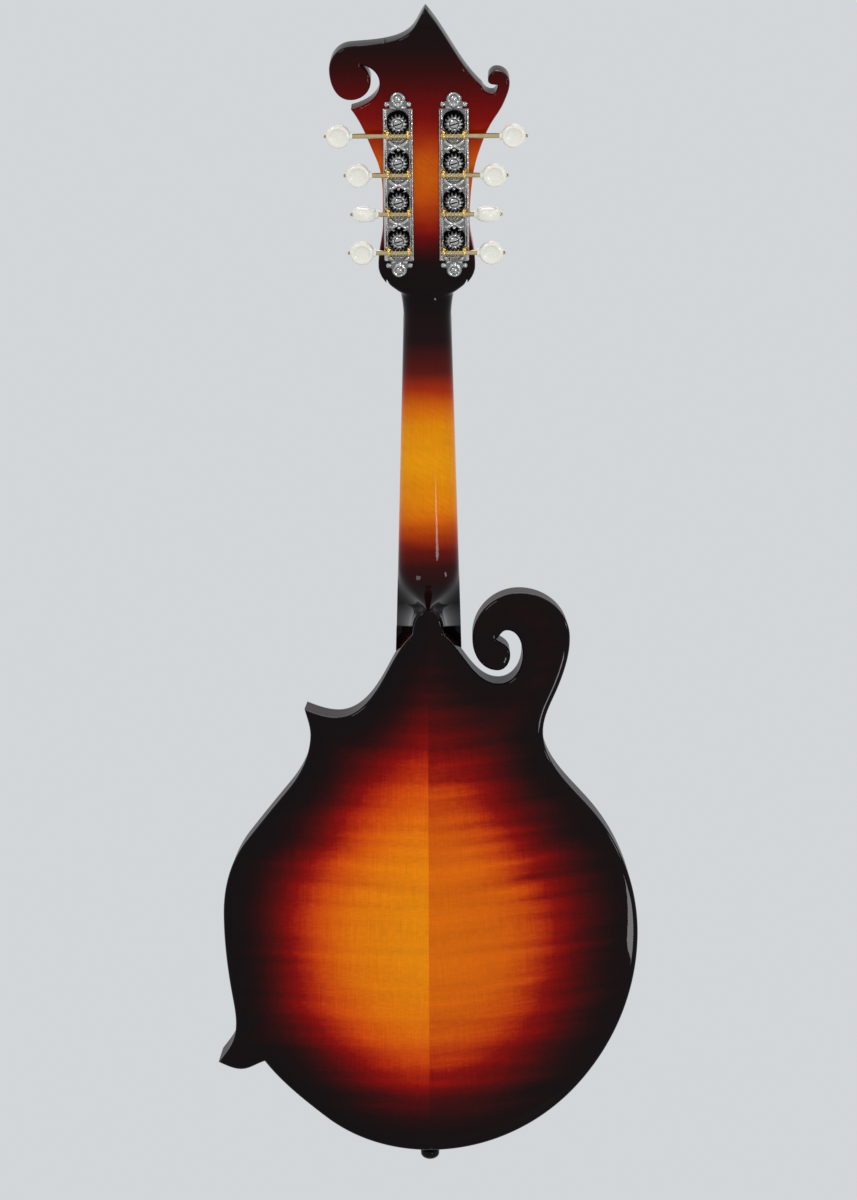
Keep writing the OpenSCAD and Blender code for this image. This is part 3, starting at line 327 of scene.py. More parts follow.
def fill(loops, grid, rings=(), holes=(), lines=()):
    """Points and triangles, turning left, that fill the loops and leave out the holes."""
    edges, points = [], []
    for loop in list(loops) + list(holes):
        start = len(points)
        points += list(loop)
        edges += [(start + i, start + (i + 1) % len(loop)) for i in range(len(loop))]
    for line in lines:
        start = len(points)
        points += list(line)
        edges += [(start + i, start + i + 1) for i in range(len(line) - 1)]
    fixed = len(points)
    for loop in loops:
        ahead = np.roll(loop, -1, axis=0) - np.roll(loop, 1, axis=0)
        inward = np.stack([-ahead[:, 1], ahead[:, 0]], 1)
        inward /= np.maximum(np.linalg.norm(inward, axis=1), 1e-9)[:, None]
        for depth in rings:
            row = loop + depth * inward
            points += list(row[edge_distance(row, loop) > 0.9 * depth])
    low, high = np.min([l.min(0) for l in loops], 0), np.max([l.max(0) for l in loops], 0)
    rows = np.arange(low[1], high[1], grid * 0.866)
    mesh = np.array([(x + (k % 2) * grid / 2, y) for k, y in enumerate(rows)
                     for x in np.arange(low[0], high[0], grid)])
    clear = (max(rings) if rings else 0) + 0.6 * grid
    mesh = mesh[np.min([edge_distance(mesh, l) for l in list(loops) + list(holes)], 0) > clear]
    for line in lines:
        near = np.linalg.norm(mesh[:, None] - np.asarray(line)[None], axis=2).min(1)
        mesh = mesh[near > 0.6 * grid]
    points += list(mesh[np.any([inside(mesh, l) for l in loops], 0)])
    spots, _, tris, *_ = delaunay_2d_cdt([tuple(map(float, p)) for p in points], edges, [], 0, 1e-5)
    spots = np.array([tuple(p) for p in spots])
    tris = np.array(tris)
    middle = spots[tris].mean(1)
    keep = np.any([inside(middle, l) for l in loops], 0)
    for hole in holes:
        keep &= ~inside(middle, hole)
    return spots, tris[keep]


def plate(spots, tris, outer, inner):
    """A closed plate between two heights (y), for triangles seen from behind."""
    used = np.unique(tris)
    place = np.full(len(spots), -1)
    place[used] = np.arange(len(used))
    tris, spots, outer, inner = place[tris], spots[used], outer[used], inner[used]
    n = len(used)
    low = np.stack([spots[:, 0], outer, spots[:, 1]], 1)
    top = np.stack([spots[:, 0], inner, spots[:, 1]], 1)
    sides = np.vstack([tris[:, [0, 1]], tris[:, [1, 2]], tris[:, [2, 0]]])
    keys = {tuple(e) for e in sides.tolist()}
    rim = [(a, b) for a, b in sides.tolist() if (b, a) not in keys]
    faces = [tuple(t) for t in tris.tolist()] + [(a + n, c + n, b + n) for a, b, c in tris.tolist()]
    faces += [(b, a, a + n, b + n) for a, b in rim]
    return np.vstack([low, top]), faces, used


# %% [markdown]
# ## Sunburst lacquer on maple
# A sunburst is sprayed: amber over the bare maple, then red, then a brown that is almost
# black at the rim, each one fading into the next as the gun moves away from the edge. So
# its colour depends on how much edge is near. That is reckoned for each point of the mesh
# as if every bit of the rim sent out spray that thins with distance, and is kept on the
# points in millimetres, as the number "burst". A colour ramp then says what each distance
# looks like. Under it lies the maple's own figure: curls across the grain (6 to 15 mm), fine
# silk along it, and short ripples. The two halves are one board opened like a book, so the
# figure mirrors about the seam, but they catch the light differently.

# %% How much spray reaches a point
def evenly(loop, step=2.0):
    closed = np.vstack([loop, loop[:1]])
    along = np.r_[0, np.cumsum(np.linalg.norm(np.diff(closed, axis=0), axis=1))]
    marks = np.linspace(0, along[-1], int(along[-1] / step), endpoint=False)
    return np.stack([np.interp(marks, along, closed[:, k]) for k in (0, 1)], 1)


def spray_distance(points, loop):
    rim = evenly(loop)
    total = np.zeros(len(points))
    for spot in rim:
        total += 1 / np.maximum(((points - spot) ** 2).sum(1), 0.01) ** 2
    return (math.pi / (4 * total)) ** (1 / 3)


# %% The lacquers
GLOSS = {"Roughness": 0.4, "Specular IOR Level": 0.0, "Coat Weight": 1.0,
         "Coat Roughness": 0.025, "Coat IOR": 1.2}


def wood_place(tree, book=False):
    """Object coordinates; where a board was opened like a book, both halves count alike."""
    place = add(tree, "ShaderNodeTexCoord").node.outputs["Object"]
    return add(tree, "ShaderNodeVectorMath", place, operation="ABSOLUTE") if book else place


def burst_lacquer(name, stops, curl, tilt):
    made, tree, surface = material(name, GLOSS)
    place = wood_place(tree, True)
    curls = grain(tree, place, (0.11, 1, 0.0095), tilt, 3)
    patches = grain(tree, place, (0.05, 1, 0.04), tilt, 1)
    ripples = grain(tree, place, (0.0045, 1, 0.0011), tilt)
    silk = grain(tree, place, (0.0007, 1, 0.022), tilt)
    bands = add(tree, "ShaderNodeMath", weighted(tree, -0.5, (curls, 1)), patches,
                operation="MULTIPLY")
    burst = add(tree, "ShaderNodeAttribute", attribute_name="burst").node.outputs["Fac"]
    reach = weighted(tree, -4.0, (burst, 1), (bands, 34 * curl), (ripples, 4), (silk, 4))
    paint = ramp(tree, reach, stops, 0, 84)
    glow = weighted(tree, 0.71, (bands, 0.9 * curl), (ripples, 0.3), (silk, 0.28))
    lit = add(tree, "ShaderNodeVectorMath", paint, operation="SCALE", Scale=glow)
    tree.links.new(lit, surface["Base Color"])
    return made


maple_treble = burst_lacquer("sunburst_lacquer_on_maple_treble", [
    (0, "#0b0506"), (9, "#0e0405"), (15, "#180304"), (21, "#2a0203"), (27, "#440102"),
    (33, "#650000"), (39, "#860500"), (45, "#ac2500"), (51, "#c84300"), (57, "#d45800"),
    (65, "#de7000"), (80, "#e28200")], 0.7, 0.03)
# The bass half's ramp is darker and redder than the treble's: painted shade for the way that half catches the
# light.
maple_bass = burst_lacquer("sunburst_lacquer_on_maple_bass", [
    (0, "#0d0506"), (9, "#100405"), (15, "#190404"), (21, "#280404"), (27, "#3a0304"),
    (33, "#510000"), (39, "#6b0100"), (45, "#850800"), (51, "#a92900"), (57, "#bf4300"),
    (66, "#cb5800"), (80, "#cf6200")], 1.2, 0.10)
print("lacquers:", maple_treble.name, maple_bass.name)

# %% [markdown]
# ## The carved back
# The back is two maple boards glued edge to edge and carved: a rounded edge, a nearly flat
# margin that runs out into the scroll and the points, and an arch that rises from it. The
# arch's height depends only on how far a point is, as a share, between the arch's own
# outline and its summit under the bridge. Both faces of the plate are made, because the
# inside shows through the sound holes.

# %% Heights of an arched plate
EDGE_T, EDGE_R, ARCH_T, BACK_RISE, TOP_RISE = 4.2, 1.8, 3.8, 10.5, 11.8
bridge_low, bridge_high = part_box("bridge_base")
BRIDGE_Z = (bridge_low.z + bridge_high.z) / 2 / MM + NUT_Z
summit = np.array([0.0, BRIDGE_Z])
spokes = arch_loop - summit
spoke_turn = np.arctan2(spokes[:, 1], spokes[:, 0])
spoke_order = np.argsort(spoke_turn)


def arch(points, rise, size=1.0):
    way = points - summit
    reach = np.interp(np.arctan2(way[:, 1], way[:, 0]), spoke_turn[spoke_order],
                      np.linalg.norm(spokes, axis=1)[spoke_order], period=2 * math.pi)
    share = np.clip(1 - np.linalg.norm(way, axis=1) / (reach * size), 0, 1)
    return rise * np.sin(share * math.pi / 2) ** 2


def rounded(distance, r):
    """Drop from a face near its rounded edge, in mm."""
    d = np.clip(distance, 0, r)
    return r - np.sqrt(np.maximum(r * r - (r - d) ** 2, 0))


def carved(spots, rise, loop, crown_drop, crown_run):
    distance = edge_distance(spots, loop)
    crown = crown_drop * np.clip(1 - distance / crown_run, 0, 1) ** 2
    outside = EDGE_T - rounded(distance, EDGE_R) - crown + arch(spots, rise)
    hollow = arch(spots, rise, 0.95)
    inner = np.where(hollow > 0, EDGE_T - ARCH_T + hollow, 0)
    return outside, np.minimum(inner, outside - 0.5)


# %% The two halves of the back
EDGE_ROWS = (0.12, 0.45, 0.95, 1.7, 3.2)
seam = np.stack([np.zeros(112), np.linspace(0, 335, 112)], 1)
spots, tris = fill([body_loop], 2.6, EDGE_ROWS, lines=[seam])
outside, hollow = carved(spots, BACK_RISE, body_loop, 1.5, 15.0)
spray = spray_distance(spots, body_loop)
middle = spots[tris].mean(1)[:, 0]
for side, keep, finish in (("bass", middle > 0, maple_bass), ("treble", middle < 0, maple_treble)):
    points, faces, used = plate(spots, tris[keep], -RIM - outside, -RIM - hollow)
    mesh_piece(f"carved_back_{side}", in_body(points), faces, [finish],
               stands_for=[f"back_{side}_half"],
               numbers={"burst": np.tile(spray[used], 2)})
print(f"arch summit {BACK_RISE} mm over the edge, at {BRIDGE_Z:.1f} mm from the tail")

# %% [markdown]
# ## The soundboard
# The front is spruce, carved in the same way, with two long sound holes shaped like an f:
# a leaning slot with a round eye at each end and a nick in the middle. The four shapes of a
# hole overlap; the fill cuts along all of them and keeps what lies outside every one.

# %% Sound holes and the spruce plate
F_LENGTH, F_GAP, EYE_R, NICK = 96.0, 100.0, 4.1, 2.2


def f_hole(side):
    s = np.linspace(-1, 1, 33)
    lean, half = -8 * s * np.abs(s) ** 0.7, 1.1 + 2.2 * (1 - s * s)
    tall = F_LENGTH / 2 - EYE_R - 2
    shapes = [np.vstack([np.stack([lean + half, s * tall], 1),
                         np.stack([lean - half, s * tall], 1)[::-1]])]
    turn = np.linspace(0, 2 * math.pi, 40, endpoint=False)
    for end in (1, -1):
        centre = [-8 * end - end * (EYE_R - 1.1), end * tall]
        shapes.append(np.stack([np.cos(turn), np.sin(turn)], 1) * EYE_R + centre)
    shapes.append(np.array([[-3.3 - NICK, 0], [0, NICK / 2], [3.3 + NICK, 0], [0, -NICK / 2]]))
    return [shape * [side, 1] + [side * F_GAP / 2, BRIDGE_Z] for shape in shapes]


rim_loop = body_loop.copy()
under_neck = (np.abs(rim_loop[:, 0]) < 12) & (rim_loop[:, 1] > JOINT_Z)
rim_loop[under_neck, 1] = JOINT_Z


def spruce_lacquer(name):
    """Spruce shows straight, even year lines about 1.3 mm apart under the same sunburst."""
    made, tree, surface = material(name, GLOSS)
    place = wood_place(tree, True)
    years = grain(tree, place, (0.0013, 1, 0.35), 0, 1)
    flecks = grain(tree, place, (0.004, 1, 0.008))
    burst = add(tree, "ShaderNodeAttribute", attribute_name="burst").node.outputs["Fac"]
    paint = ramp(tree, burst, [
        (0, "#0b0506"), (10, "#120504"), (18, "#2c0704"), (28, "#5c0f02"), (38, "#8f2a03"),
        (47, "#b75a0c"), (57, "#cf8420"), (71, "#dc9c34")], 0, 84)
    tone = weighted(tree, 1.24, (years, -0.55), (flecks, 0.12))
    lit = add(tree, "ShaderNodeVectorMath", paint, operation="SCALE", Scale=tone)
    tree.links.new(lit, surface["Base Color"])
    return made


spruce = spruce_lacquer("sunburst_lacquer_on_spruce")
spots, tris = fill([rim_loop], 2.8, EDGE_ROWS, holes=f_hole(1) + f_hole(-1), lines=[seam[:106]])
outside, hollow = carved(spots, TOP_RISE, rim_loop, 0.45, 9.0)
points, faces, used = plate(spots, tris, -RIM - outside, -RIM - hollow)
points[:, 1] *= -1
mesh_piece("carved_soundboard", in_body(points), [f[::-1] for f in faces], [spruce],
           stands_for=["soundboard"],
           numbers={"burst": np.tile(spray_distance(spots[used], rim_loop), 2)})

# %% [markdown]
# ## The ribs
# The sides are thin maple strips bent round the outline. They are sprayed almost black,
# with a little red left half way between the plates.

# %% Bent sides
def side_lacquer(name):
    """Bent strips are rubbed down less than the plates, so their gloss is weaker."""
    made, tree, surface = material(name, {**GLOSS, "Coat Weight": 0.3})
    place = wood_place(tree)
    curls = grain(tree, place, (0.016, 0.016, 0.016))
    across = add(tree, "ShaderNodeSeparateXYZ", place).node.outputs["Y"]
    level = add(tree, "ShaderNodeMath", weighted(tree, NECK_Y / RIM, (across, 1 / (RIM * MM))),
                operation="ABSOLUTE")
    paint = ramp(tree, weighted(tree, -0.2, (level, 1), (curls, 0.4)),
                 [(0.0, "#3a0704"), (0.35, "#260504"), (0.75, "#0e0405")])
    tree.links.new(paint, surface["Base Color"])
    return made


side_maple = side_lacquer("dark_lacquer_on_bent_maple")
ahead = np.roll(rim_loop, -1, axis=0) - np.roll(rim_loop, 1, axis=0)
inward = np.stack([-ahead[:, 1], ahead[:, 0]], 1)
inward /= np.maximum(np.linalg.norm(inward, axis=1), 1e-9)[:, None]
walls = [(rim_loop, -RIM), (rim_loop, RIM), (rim_loop + 1.2 * inward, RIM), (rim_loop + 1.2 * inward, -RIM)]
points = np.vstack([np.stack([w[:, 0], np.full(len(w), y), w[:, 1]], 1) for w, y in walls])
n = len(rim_loop)
faces = [(k * n + i, k * n + (i + 1) % n, ((k + 1) % 4) * n + (i + 1) % n, ((k + 1) % 4) * n + i)
         for k in range(4) for i in range(n)]
mesh_piece("bent_sides", in_body(points), faces, [side_maple], stands_for=["ribs"],
           corner=50)

# %% [markdown]
# ## Neck and headstock
# The neck is one piece of maple: a deep heel on the body, a rounded shaft and a flat
# headstock with a glued wing on each side, all under the same lacquer. A loft through
# cross-sections gives the shaft. Between the given sections a Catmull-Rom curve adds finer
# ones, so that the light runs along it without a break.

# %% The neck's lacquer follows its length
def long_lacquer(name, stops, seams=0.0):
    """Dark at the heel, amber along the shaft, dark round the nut, amber between the tuners."""
    made, tree, surface = material(name, GLOSS)
    place = wood_place(tree)
    curls = grain(tree, place, (0.04, 1, 0.0085))
    silk = grain(tree, place, (0.0011, 1, 0.017))
    cross = grain(tree, place, (0.011, 1, 0.0014), 0.6)
    parts = add(tree, "ShaderNodeSeparateXYZ", place).node.outputs
    paint = ramp(tree, weighted(tree, -3, (parts["Z"], 1000), (curls, 6)), stops,
                 stops[0][0], stops[-1][0])
    # The glue lines of the headstock's wings show as hair lines through the lacquer.
    aside = add(tree, "ShaderNodeMath", parts["X"], operation="ABSOLUTE")
    seam = add(tree, "ShaderNodeMath", aside, 0.0245, 0.00013, operation="COMPARE")
    glow = weighted(tree, 0.59, (curls, 0.25), (silk, 0.26), (cross, 0.30), (seam, -seams))
    lit = add(tree, "ShaderNodeVectorMath", paint, operation="SCALE", Scale=glow)
    tree.links.new(lit, surface["Base Color"])
    return made


neck_maple = long_lacquer("sunburst_lacquer_on_neck_maple", [
    (-215, "#0b0504"), (-178, "#12070a"), (-164, "#340806"), (-154, "#6a1002"),
    (-146, "#a03000"), (-138, "#cb5800"), (-126, "#de7d00"), (-100, "#e59200"),
    (-78, "#de8500"), (-66, "#cc6000"), (-56, "#a02a02"), (-44, "#52100a"),
    (-26, "#1c0709"), (0, "#0c0506"), (20, "#120404"), (32, "#3d0201")])
head_maple = long_lacquer("sunburst_lacquer_on_headstock", [
    (10, "#0c0506"), (22, "#160404"), (30, "#3d0201"), (37, "#690000"), (45, "#951c00"),
    (53, "#b13a00"), (62, "#c75000"), (72, "#cd5a00"), (82, "#c85400"), (90, "#b53a00"),
    (98, "#951d00"), (106, "#7a0400"), (114, "#660000"), (124, "#4a0000"), (134, "#300101"),
    (146, "#1a0404"), (158, "#120506"), (174, "#131013")], 0.3)

# %% Cross-sections of the shaft
frame_width = (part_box("headstock_wings")[1].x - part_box("headstock_wings")[0].x) / MM
NUT_W, JOINT_W, NECK_D, HEAD_T, BLANK_W = 28.8, 40.0, 14.5, 13.5, 49.0
JOINT_DROP = NUT_Z - JOINT_Z
BUTTON_L, BUTTON_HALF, HEEL_RUN, CORE_START = 15.0, 9.5, 26.0, 12.0
HEEL_D = RIM + EDGE_T + 7.5 + RIM
TAN_LEAN = math.tan(math.radians(NECK_LEAN))
depths = np.sin(np.linspace(0, math.pi / 2, 22))


def mix(a, b, k):
    return a + (b - a) * k


def half_width(points, height):
    a, b = points, np.roll(points, -1, axis=0)
    cross = ((a[:, 1] - height) * (b[:, 1] - height) <= 0) & (a[:, 1] != b[:, 1])
    a, b = a[cross], b[cross]
    return (a[:, 0] + (b[:, 0] - a[:, 0]) * (height - a[:, 1]) / (b[:, 1] - a[:, 1])).max()


def section(y, z, lean, width, depth, full, heel, back):
    sides = mix(width / 2 * np.sqrt(np.maximum(0.0004, 1 - depths ** full)),
                back + (width / 2 - back) * (1 - depths) ** 2.2, heel)
    c, s = math.cos(math.radians(lean)), math.sin(math.radians(lean))
    right = np.stack([sides, y - depths * depth * c, z - depths * depth * s], 1)
    left = (right * [-1, 1, 1])[::-1]
    return np.vstack([right, left])


def neck_width(z):
    return mix(NUT_W, JOINT_W, -z / JOINT_DROP)


def heel_section(h):
    z = h - JOINT_DROP
    heel = (1 - min(1, max(0, h - BUTTON_L) / HEEL_RUN)) ** 2.4
    back = BUTTON_HALF * math.sqrt(1.02 - (h / BUTTON_L) ** 3) if h < BUTTON_L else 1.3
    depth = mix(NECK_D + 1.6 * (-z / JOINT_DROP), HEEL_D - h * TAN_LEAN, heel)
    return section(-z * TAN_LEAN, z, 0, neck_width(z), depth, 2.3, heel, back)


def head_section(s):
    k = min(1, max(0, s / CORE_START))
    c, n = math.cos(math.radians(HEAD_LEAN)), math.sin(math.radians(HEAD_LEAN))
    y = -NUT_T * math.sin(math.radians(NECK_LEAN)) - s * n
    z = NUT_T * math.cos(math.radians(NECK_LEAN)) + s * c
    return section(y, z, HEAD_LEAN, 2 * min(BLANK_W / 2, half_width(head_loop, s)),
                   mix(NECK_D, HEAD_T, k), mix(2.6, 14, k), 0, 1)


# %% Loft the shaft
def between(rows, steps):
    """Catmull-Rom sections between the given ones."""
    rows = np.array(rows)
    out = []
    for i in range(len(rows) - 1):
        a, b, c, d = rows[max(i - 1, 0)], rows[i], rows[i + 1], rows[min(i + 2, len(rows) - 1)]
        for t in np.arange(steps) / steps:
            out.append(0.5 * (2 * b + (c - a) * t + (2*a - 5*b + 4*c - d) * t**2
                              + (3*b - a - 3*c + d) * t**3))
    return out + [rows[-1]]


def loft(rings):
    n = len(rings[0])
    faces = [(k * n + i, k * n + (i + 1) % n, (k + 1) * n + (i + 1) % n, (k + 1) * n + i)
             for k in range(len(rings) - 1) for i in range(n)]
    faces += [tuple(range(n))[::-1], tuple((len(rings) - 1) * n + i for i in range(n))]
    return np.vstack(rings), faces


heel = [heel_section(h) for h in (-14, -7, 0, 5, 9, 12, 14, 14.99)]
shaft = [heel_section(h) for h in (15, 17, 20, 24, 29, 35, 42, 50, 59)]
shaft += [heel_section(h) for h in np.linspace(64, JOINT_DROP - 22, 6)]
shaft += [section(8 * TAN_LEAN, -8, 3, neck_width(-8), NECK_D, 2.4, 0, 1)]
shaft += [head_section(s) for s in (0, 4, 8, 12, 14)]
shaft_rings = between(heel, 3)[:-1] + between(shaft, 4)
neck_points, neck_faces = loft(shaft_rings)
print(len(shaft_rings), "sections,", len(neck_points), "points")

# %% The flat headstock: core and wings
STATIONS = [38 + 24 * i for i in range(4)]
POST_X = 16.6
turn = np.linspace(0, 2 * math.pi, 32, endpoint=False)
post_holes = [np.stack([np.cos(turn), np.sin(turn)], 1) * 4 + [side * POST_X, s]
              for side in (-1, 1) for s in STATIONS]
glue = [np.stack([np.full(70, x), np.linspace(-2, 176, 70)], 1) for x in (-BLANK_W / 2, BLANK_W / 2)]
foot = [np.stack([np.linspace(-40, 40, 40), np.full(40, CORE_START)], 1)]
HEAD_ROUND = 2.0
spots, tris = fill([head_loop], 2.2, (0.12, 0.45, 0.95, 1.5, 2.1), holes=post_holes, lines=glue + foot)
back = -HEAD_T + rounded(edge_distance(spots, head_loop), HEAD_ROUND)
flat = np.zeros(len(spots))
middle = spots[tris].mean(1)
core = (np.abs(middle[:, 0]) < BLANK_W / 2) & (middle[:, 1] > CORE_START)
core_points, core_faces, _ = plate(spots, tris[core], back, flat)
wing_points, wing_faces, _ = plate(spots, tris[np.abs(middle[:, 0]) > BLANK_W / 2], back, flat)
mesh_piece("headstock_ears", in_head(wing_points), wing_faces, [head_maple],
           stands_for=["headstock_wings"])
riser_z = -JOINT_DROP + 1
end_z = -(352 * (1 - 2 ** (-22 / 12)) + 6) * math.cos(math.radians(NECK_LEAN))
foot_y = RIM + EDGE_T - NECK_Y
riser = []
for sign in (1, -1):
    riser.append([(sign * neck_width(z) / 2, y, z) for y, z in (
        (foot_y, riser_z), (foot_y, -JOINT_DROP - 22), (-end_z * TAN_LEAN - 1.5, end_z + 3),
        (-(end_z + 1) * TAN_LEAN, end_z + 1), (-riser_z * TAN_LEAN, riser_z))])
riser_points, riser_faces = loft([np.array(riser[1]), np.array(riser[0])])
points, faces = joined([(neck_points * MM, neck_faces), (in_head(core_points), core_faces),
                        (riser_points * MM, [f[::-1] for f in riser_faces])])
on_head = [1 if len(neck_faces) <= i < len(neck_faces) + len(core_faces) else 0
           for i in range(len(faces))]
mesh_piece("neck_and_headstock", points, faces, [neck_maple, head_maple], stands_for=["neck"],
           finish_of=on_head, corner=40)

# %% The black front veneer
def black_veneer(name):
    """Dyed pear veneer under lacquer: black with a hint of straight grain."""
    made, tree, surface = material(name, GLOSS)
    pores = grain(tree, wood_place(tree), (0.0011, 0.0011, 0.025))
    tree.links.new(ramp(tree, pores, [(0.3, "#070607"), (0.7, "#131112")]), surface["Base Color"])
    return made


veneer_black = black_veneer("black_lacquered_veneer")
keep = (middle[:, 1] > 0.6)
points, faces, _ = plate(spots, tris[keep], flat + 0.02, flat + 1.8)
mesh_piece("head_veneer", in_head(points), faces, [veneer_black],
           stands_for=["headstock_veneer"])

# %% [markdown]
# ## Metal, ivoroid and the other plain finishes
# Nickel plate is bright and faintly warm; years of handling leave it a little cloudy. The
# worm shafts are tinted warm and the bearing ears gold: painted warm reflection. The
# engraved tuner plates were cast, plated and then blackened in their low places, and wells,
# wheel recesses, screw slots and worm threads get painted shade, so a number kept on each
# point, "depth", says how dark it is there. Ivoroid is a cream celluloid with
# fine parallel grain. Ebony and rosewood are waxed, not lacquered.

# %% Finishes for fittings
def finish(name, codes, size, sockets, detail=2):
    """A finish whose colour drifts between some hex colours in patches of a size in metres."""
    made, tree, surface = material(name, sockets)
    patches = grain(tree, wood_place(tree), size, 0, detail)
    stops = [(0.3 + 0.4 * k / (len(codes) - 1), code) for k, code in enumerate(codes)]
    tree.links.new(ramp(tree, patches, stops), surface["Base Color"])
    return made


def polished_metal(name, bright, dull, rough=0.16):
    """Plated metal: long faint wipe marks change its gloss, and low places are darkened: blacking on the
    engraved ground, painted shade in wells, recesses, slots and threads.
    """
    made, tree, surface = material(name, {"Metallic": 1.0})
    place = wood_place(tree)
    clouds = grain(tree, place, (0.002, 0.002, 0.006))
    depth = add(tree, "ShaderNodeAttribute", attribute_name="depth").node.outputs["Fac"]
    shade = weighted(tree, -0.06, (clouds, 0.24), (depth, 1.0))
    tree.links.new(ramp(tree, shade, [(0, bright), (0.45, dull), (1.0, "#0b0b0c")]),
                   surface["Base Color"])
    tree.links.new(weighted(tree, rough - 0.05, (clouds, 0.1), (depth, 0.25)), surface["Roughness"])
    return made


nickel = polished_metal("nickel_plate_on_brass", "#c9c8c6", "#8d8c8b")
# The worm shafts' warm tint and the bearing ears' gold are painted warm reflection on nickel.
warm_reflection_nickel = polished_metal("worm_shafts_painted_warm_reflection", "#d9c79a", "#8f7c50", 0.14)
ears_painted_warm_reflection = polished_metal("bearing_ears_painted_warm_reflection", "#f0c877", "#a87a34", 0.18)
fret_nickel = polished_metal("fret_wire", "#c4c2bd", "#9b9894", 0.22)
steel = polished_metal("music_wire", "#b9b8b6", "#8c8a87", 0.24)
bronze = polished_metal("phosphor_bronze_winding", "#c98f4e", "#8a5a2a", 0.28)
ivoroid = finish("grained_ivoroid", ["#e2ddcf", "#efece2", "#e8e4d8"], (0.0004, 0.0004, 0.006),
                 {"Roughness": 0.25, "Subsurface Weight": 0.25, "Subsurface Scale": 0.002,
                  "Coat Weight": 0.4, "Coat Roughness": 0.08})
bone = finish("bleached_bone", ["#d9d0b8", "#e6dfca"], (0.0008, 0.0004, 0.003),
              {"Roughness": 0.35, "Subsurface Weight": 0.15, "Subsurface Scale": 0.001})
pearl = finish("mother_of_pearl", ["#cfd8d2", "#e9e4e6", "#c6d0da", "#efe9dc"],
               (0.0016, 0.0016, 0.0008), {"Roughness": 0.15, "Coat Weight": 0.6}, 3)
ebony = finish("oiled_ebony", ["#0d0b0a", "#1b1512", "#120e0c"], (0.0005, 0.0005, 0.014),
               {"Roughness": 0.38}, 3)
rosewood = finish("oiled_rosewood", ["#1d0f0a", "#3a2014", "#26140d"], (0.0007, 0.0007, 0.018),
                  {"Roughness": 0.42}, 3)
bare_maple = finish("bare_maple", ["#c79c66", "#d8b481"], (0.001, 0.001, 0.02), {"Roughness": 0.6})
bare_spruce = finish("bare_spruce", ["#c9a56b", "#dcbf8a"], (0.0013, 0.0013, 0.2),
                     {"Roughness": 0.65})
black_lacquer = finish("black_lacquer", ["#060606", "#0f0d0e"], (0.001, 0.001, 0.02), GLOSS)
print("finishes so far:", len(bpy.data.materials))

# %% [markdown]
# ## Rule-made parts with Geometry Nodes
# What repeats by a rule is made by a small node tree: beads along an edge, frets down a
# board, the turns of a string, screws at their holes. A helper builds the tree, sets its
# inputs by identifier, runs it once and keeps the result as a plain mesh.

# %% Run a node tree once
def by_nodes(name, build, paint, start, sizes):
    tree = bpy.data.node_groups.new(name, "GeometryNodeTree")
    sockets, numbers = tree.interface, {}
    sockets.new_socket("Start", in_out="INPUT", socket_type="NodeSocketGeometry")
    for key, value in sizes.items():
        kind = {int: "NodeSocketInt", float: "NodeSocketFloat"}.get(type(value), "NodeSocketObject")
        numbers[key] = sockets.new_socket(key, in_out="INPUT", socket_type=kind).identifier
    sockets.new_socket("Result", in_out="OUTPUT", socket_type="NodeSocketGeometry")
    shape = build(tree, add(tree, "NodeGroupInput").node.outputs)
    whole = add(tree, "GeometryNodeRealizeInstances", shape)
    add(tree, "NodeGroupOutput", add(tree, "GeometryNodeSetMaterial", whole, None, paint))
    carrier = bpy.data.objects.new(name + "_carrier", start)
    bpy.context.scene.collection.objects.link(carrier)
    run = carrier.modifiers.new(name, "NODES")
    run.node_group = tree
    for key, value in sizes.items():
        run[numbers[key]] = value
    result = carrier.evaluated_get(bpy.context.evaluated_depsgraph_get())
    mesh = bpy.data.meshes.new_from_object(result)
    mesh.name = name
    carrier.modifiers.remove(run)
    bpy.data.objects.remove(carrier)
    return mesh


def placed(mesh, place, corner=35):
    """Moves a mesh from a maker's millimetres to its place, and smooths it."""
    spots = np.empty(len(mesh.vertices) * 3)
    mesh.vertices.foreach_get("co", spots)
    mesh.vertices.foreach_set("co", place(spots.reshape(-1, 3)).ravel())
    mesh.shade_smooth()
    mesh.set_sharp_from_angle(angle=math.radians(corner))
    return mesh


def plain_mesh(name, points, faces=()):
    mesh = bpy.data.meshes.new(name)
    mesh.from_pydata(np.asarray(points, float).tolist(), [], list(faces))
    return mesh


def turned(profile, count=48):
    """A lathe-turned solid about Y from (radius, y) rows; the ends are closed."""
    angles = np.linspace(0, 2 * math.pi, count, endpoint=False)
    rings = [np.stack([r * np.cos(angles), np.full(count, y), r * np.sin(angles)], 1)
             for r, y in profile]
    points, faces = loft(rings)
    return points, [f[::-1] for f in faces]


def tipped(points, axis):
    """Turns a Y-axis solid so that its +Y end points along +X, -Y or -Z."""
    x, y, z = np.asarray(points, float).T
    return np.stack({"+X": (y, -x, z), "-X": (-y, x, z), "-Y": (-x, -y, z),
                     "-Z": (x, z, -y)}[axis], 1)


# %% [markdown]
# ## Engraved tuner plates
# Each plate is a heightfield, like a coin: its outline is filled with a fine mesh and the
# pattern is a sum of small domes (scrolls and leaves of a common kind), lifted from a face
# that lies between two raised borders. Wells round the wheels are deep, with painted shade in them.

# %% The plate's outline and relief
PLATE_T, PLATE_W, WORM_DROP = 1.2, 18.0, 7.5
PLATE_LOW, PLATE_HIGH = STATIONS[0] - 14, STATIONS[3] + 8
PLATE_FACE = -HEAD_T - PLATE_T
WORM_Y = PLATE_FACE - 3.4


def bow(x, s, r, start, end, count):
    a = np.radians(np.linspace(start, end, count))
    return np.stack([x + r * np.cos(a), s + r * np.sin(a)], 1)


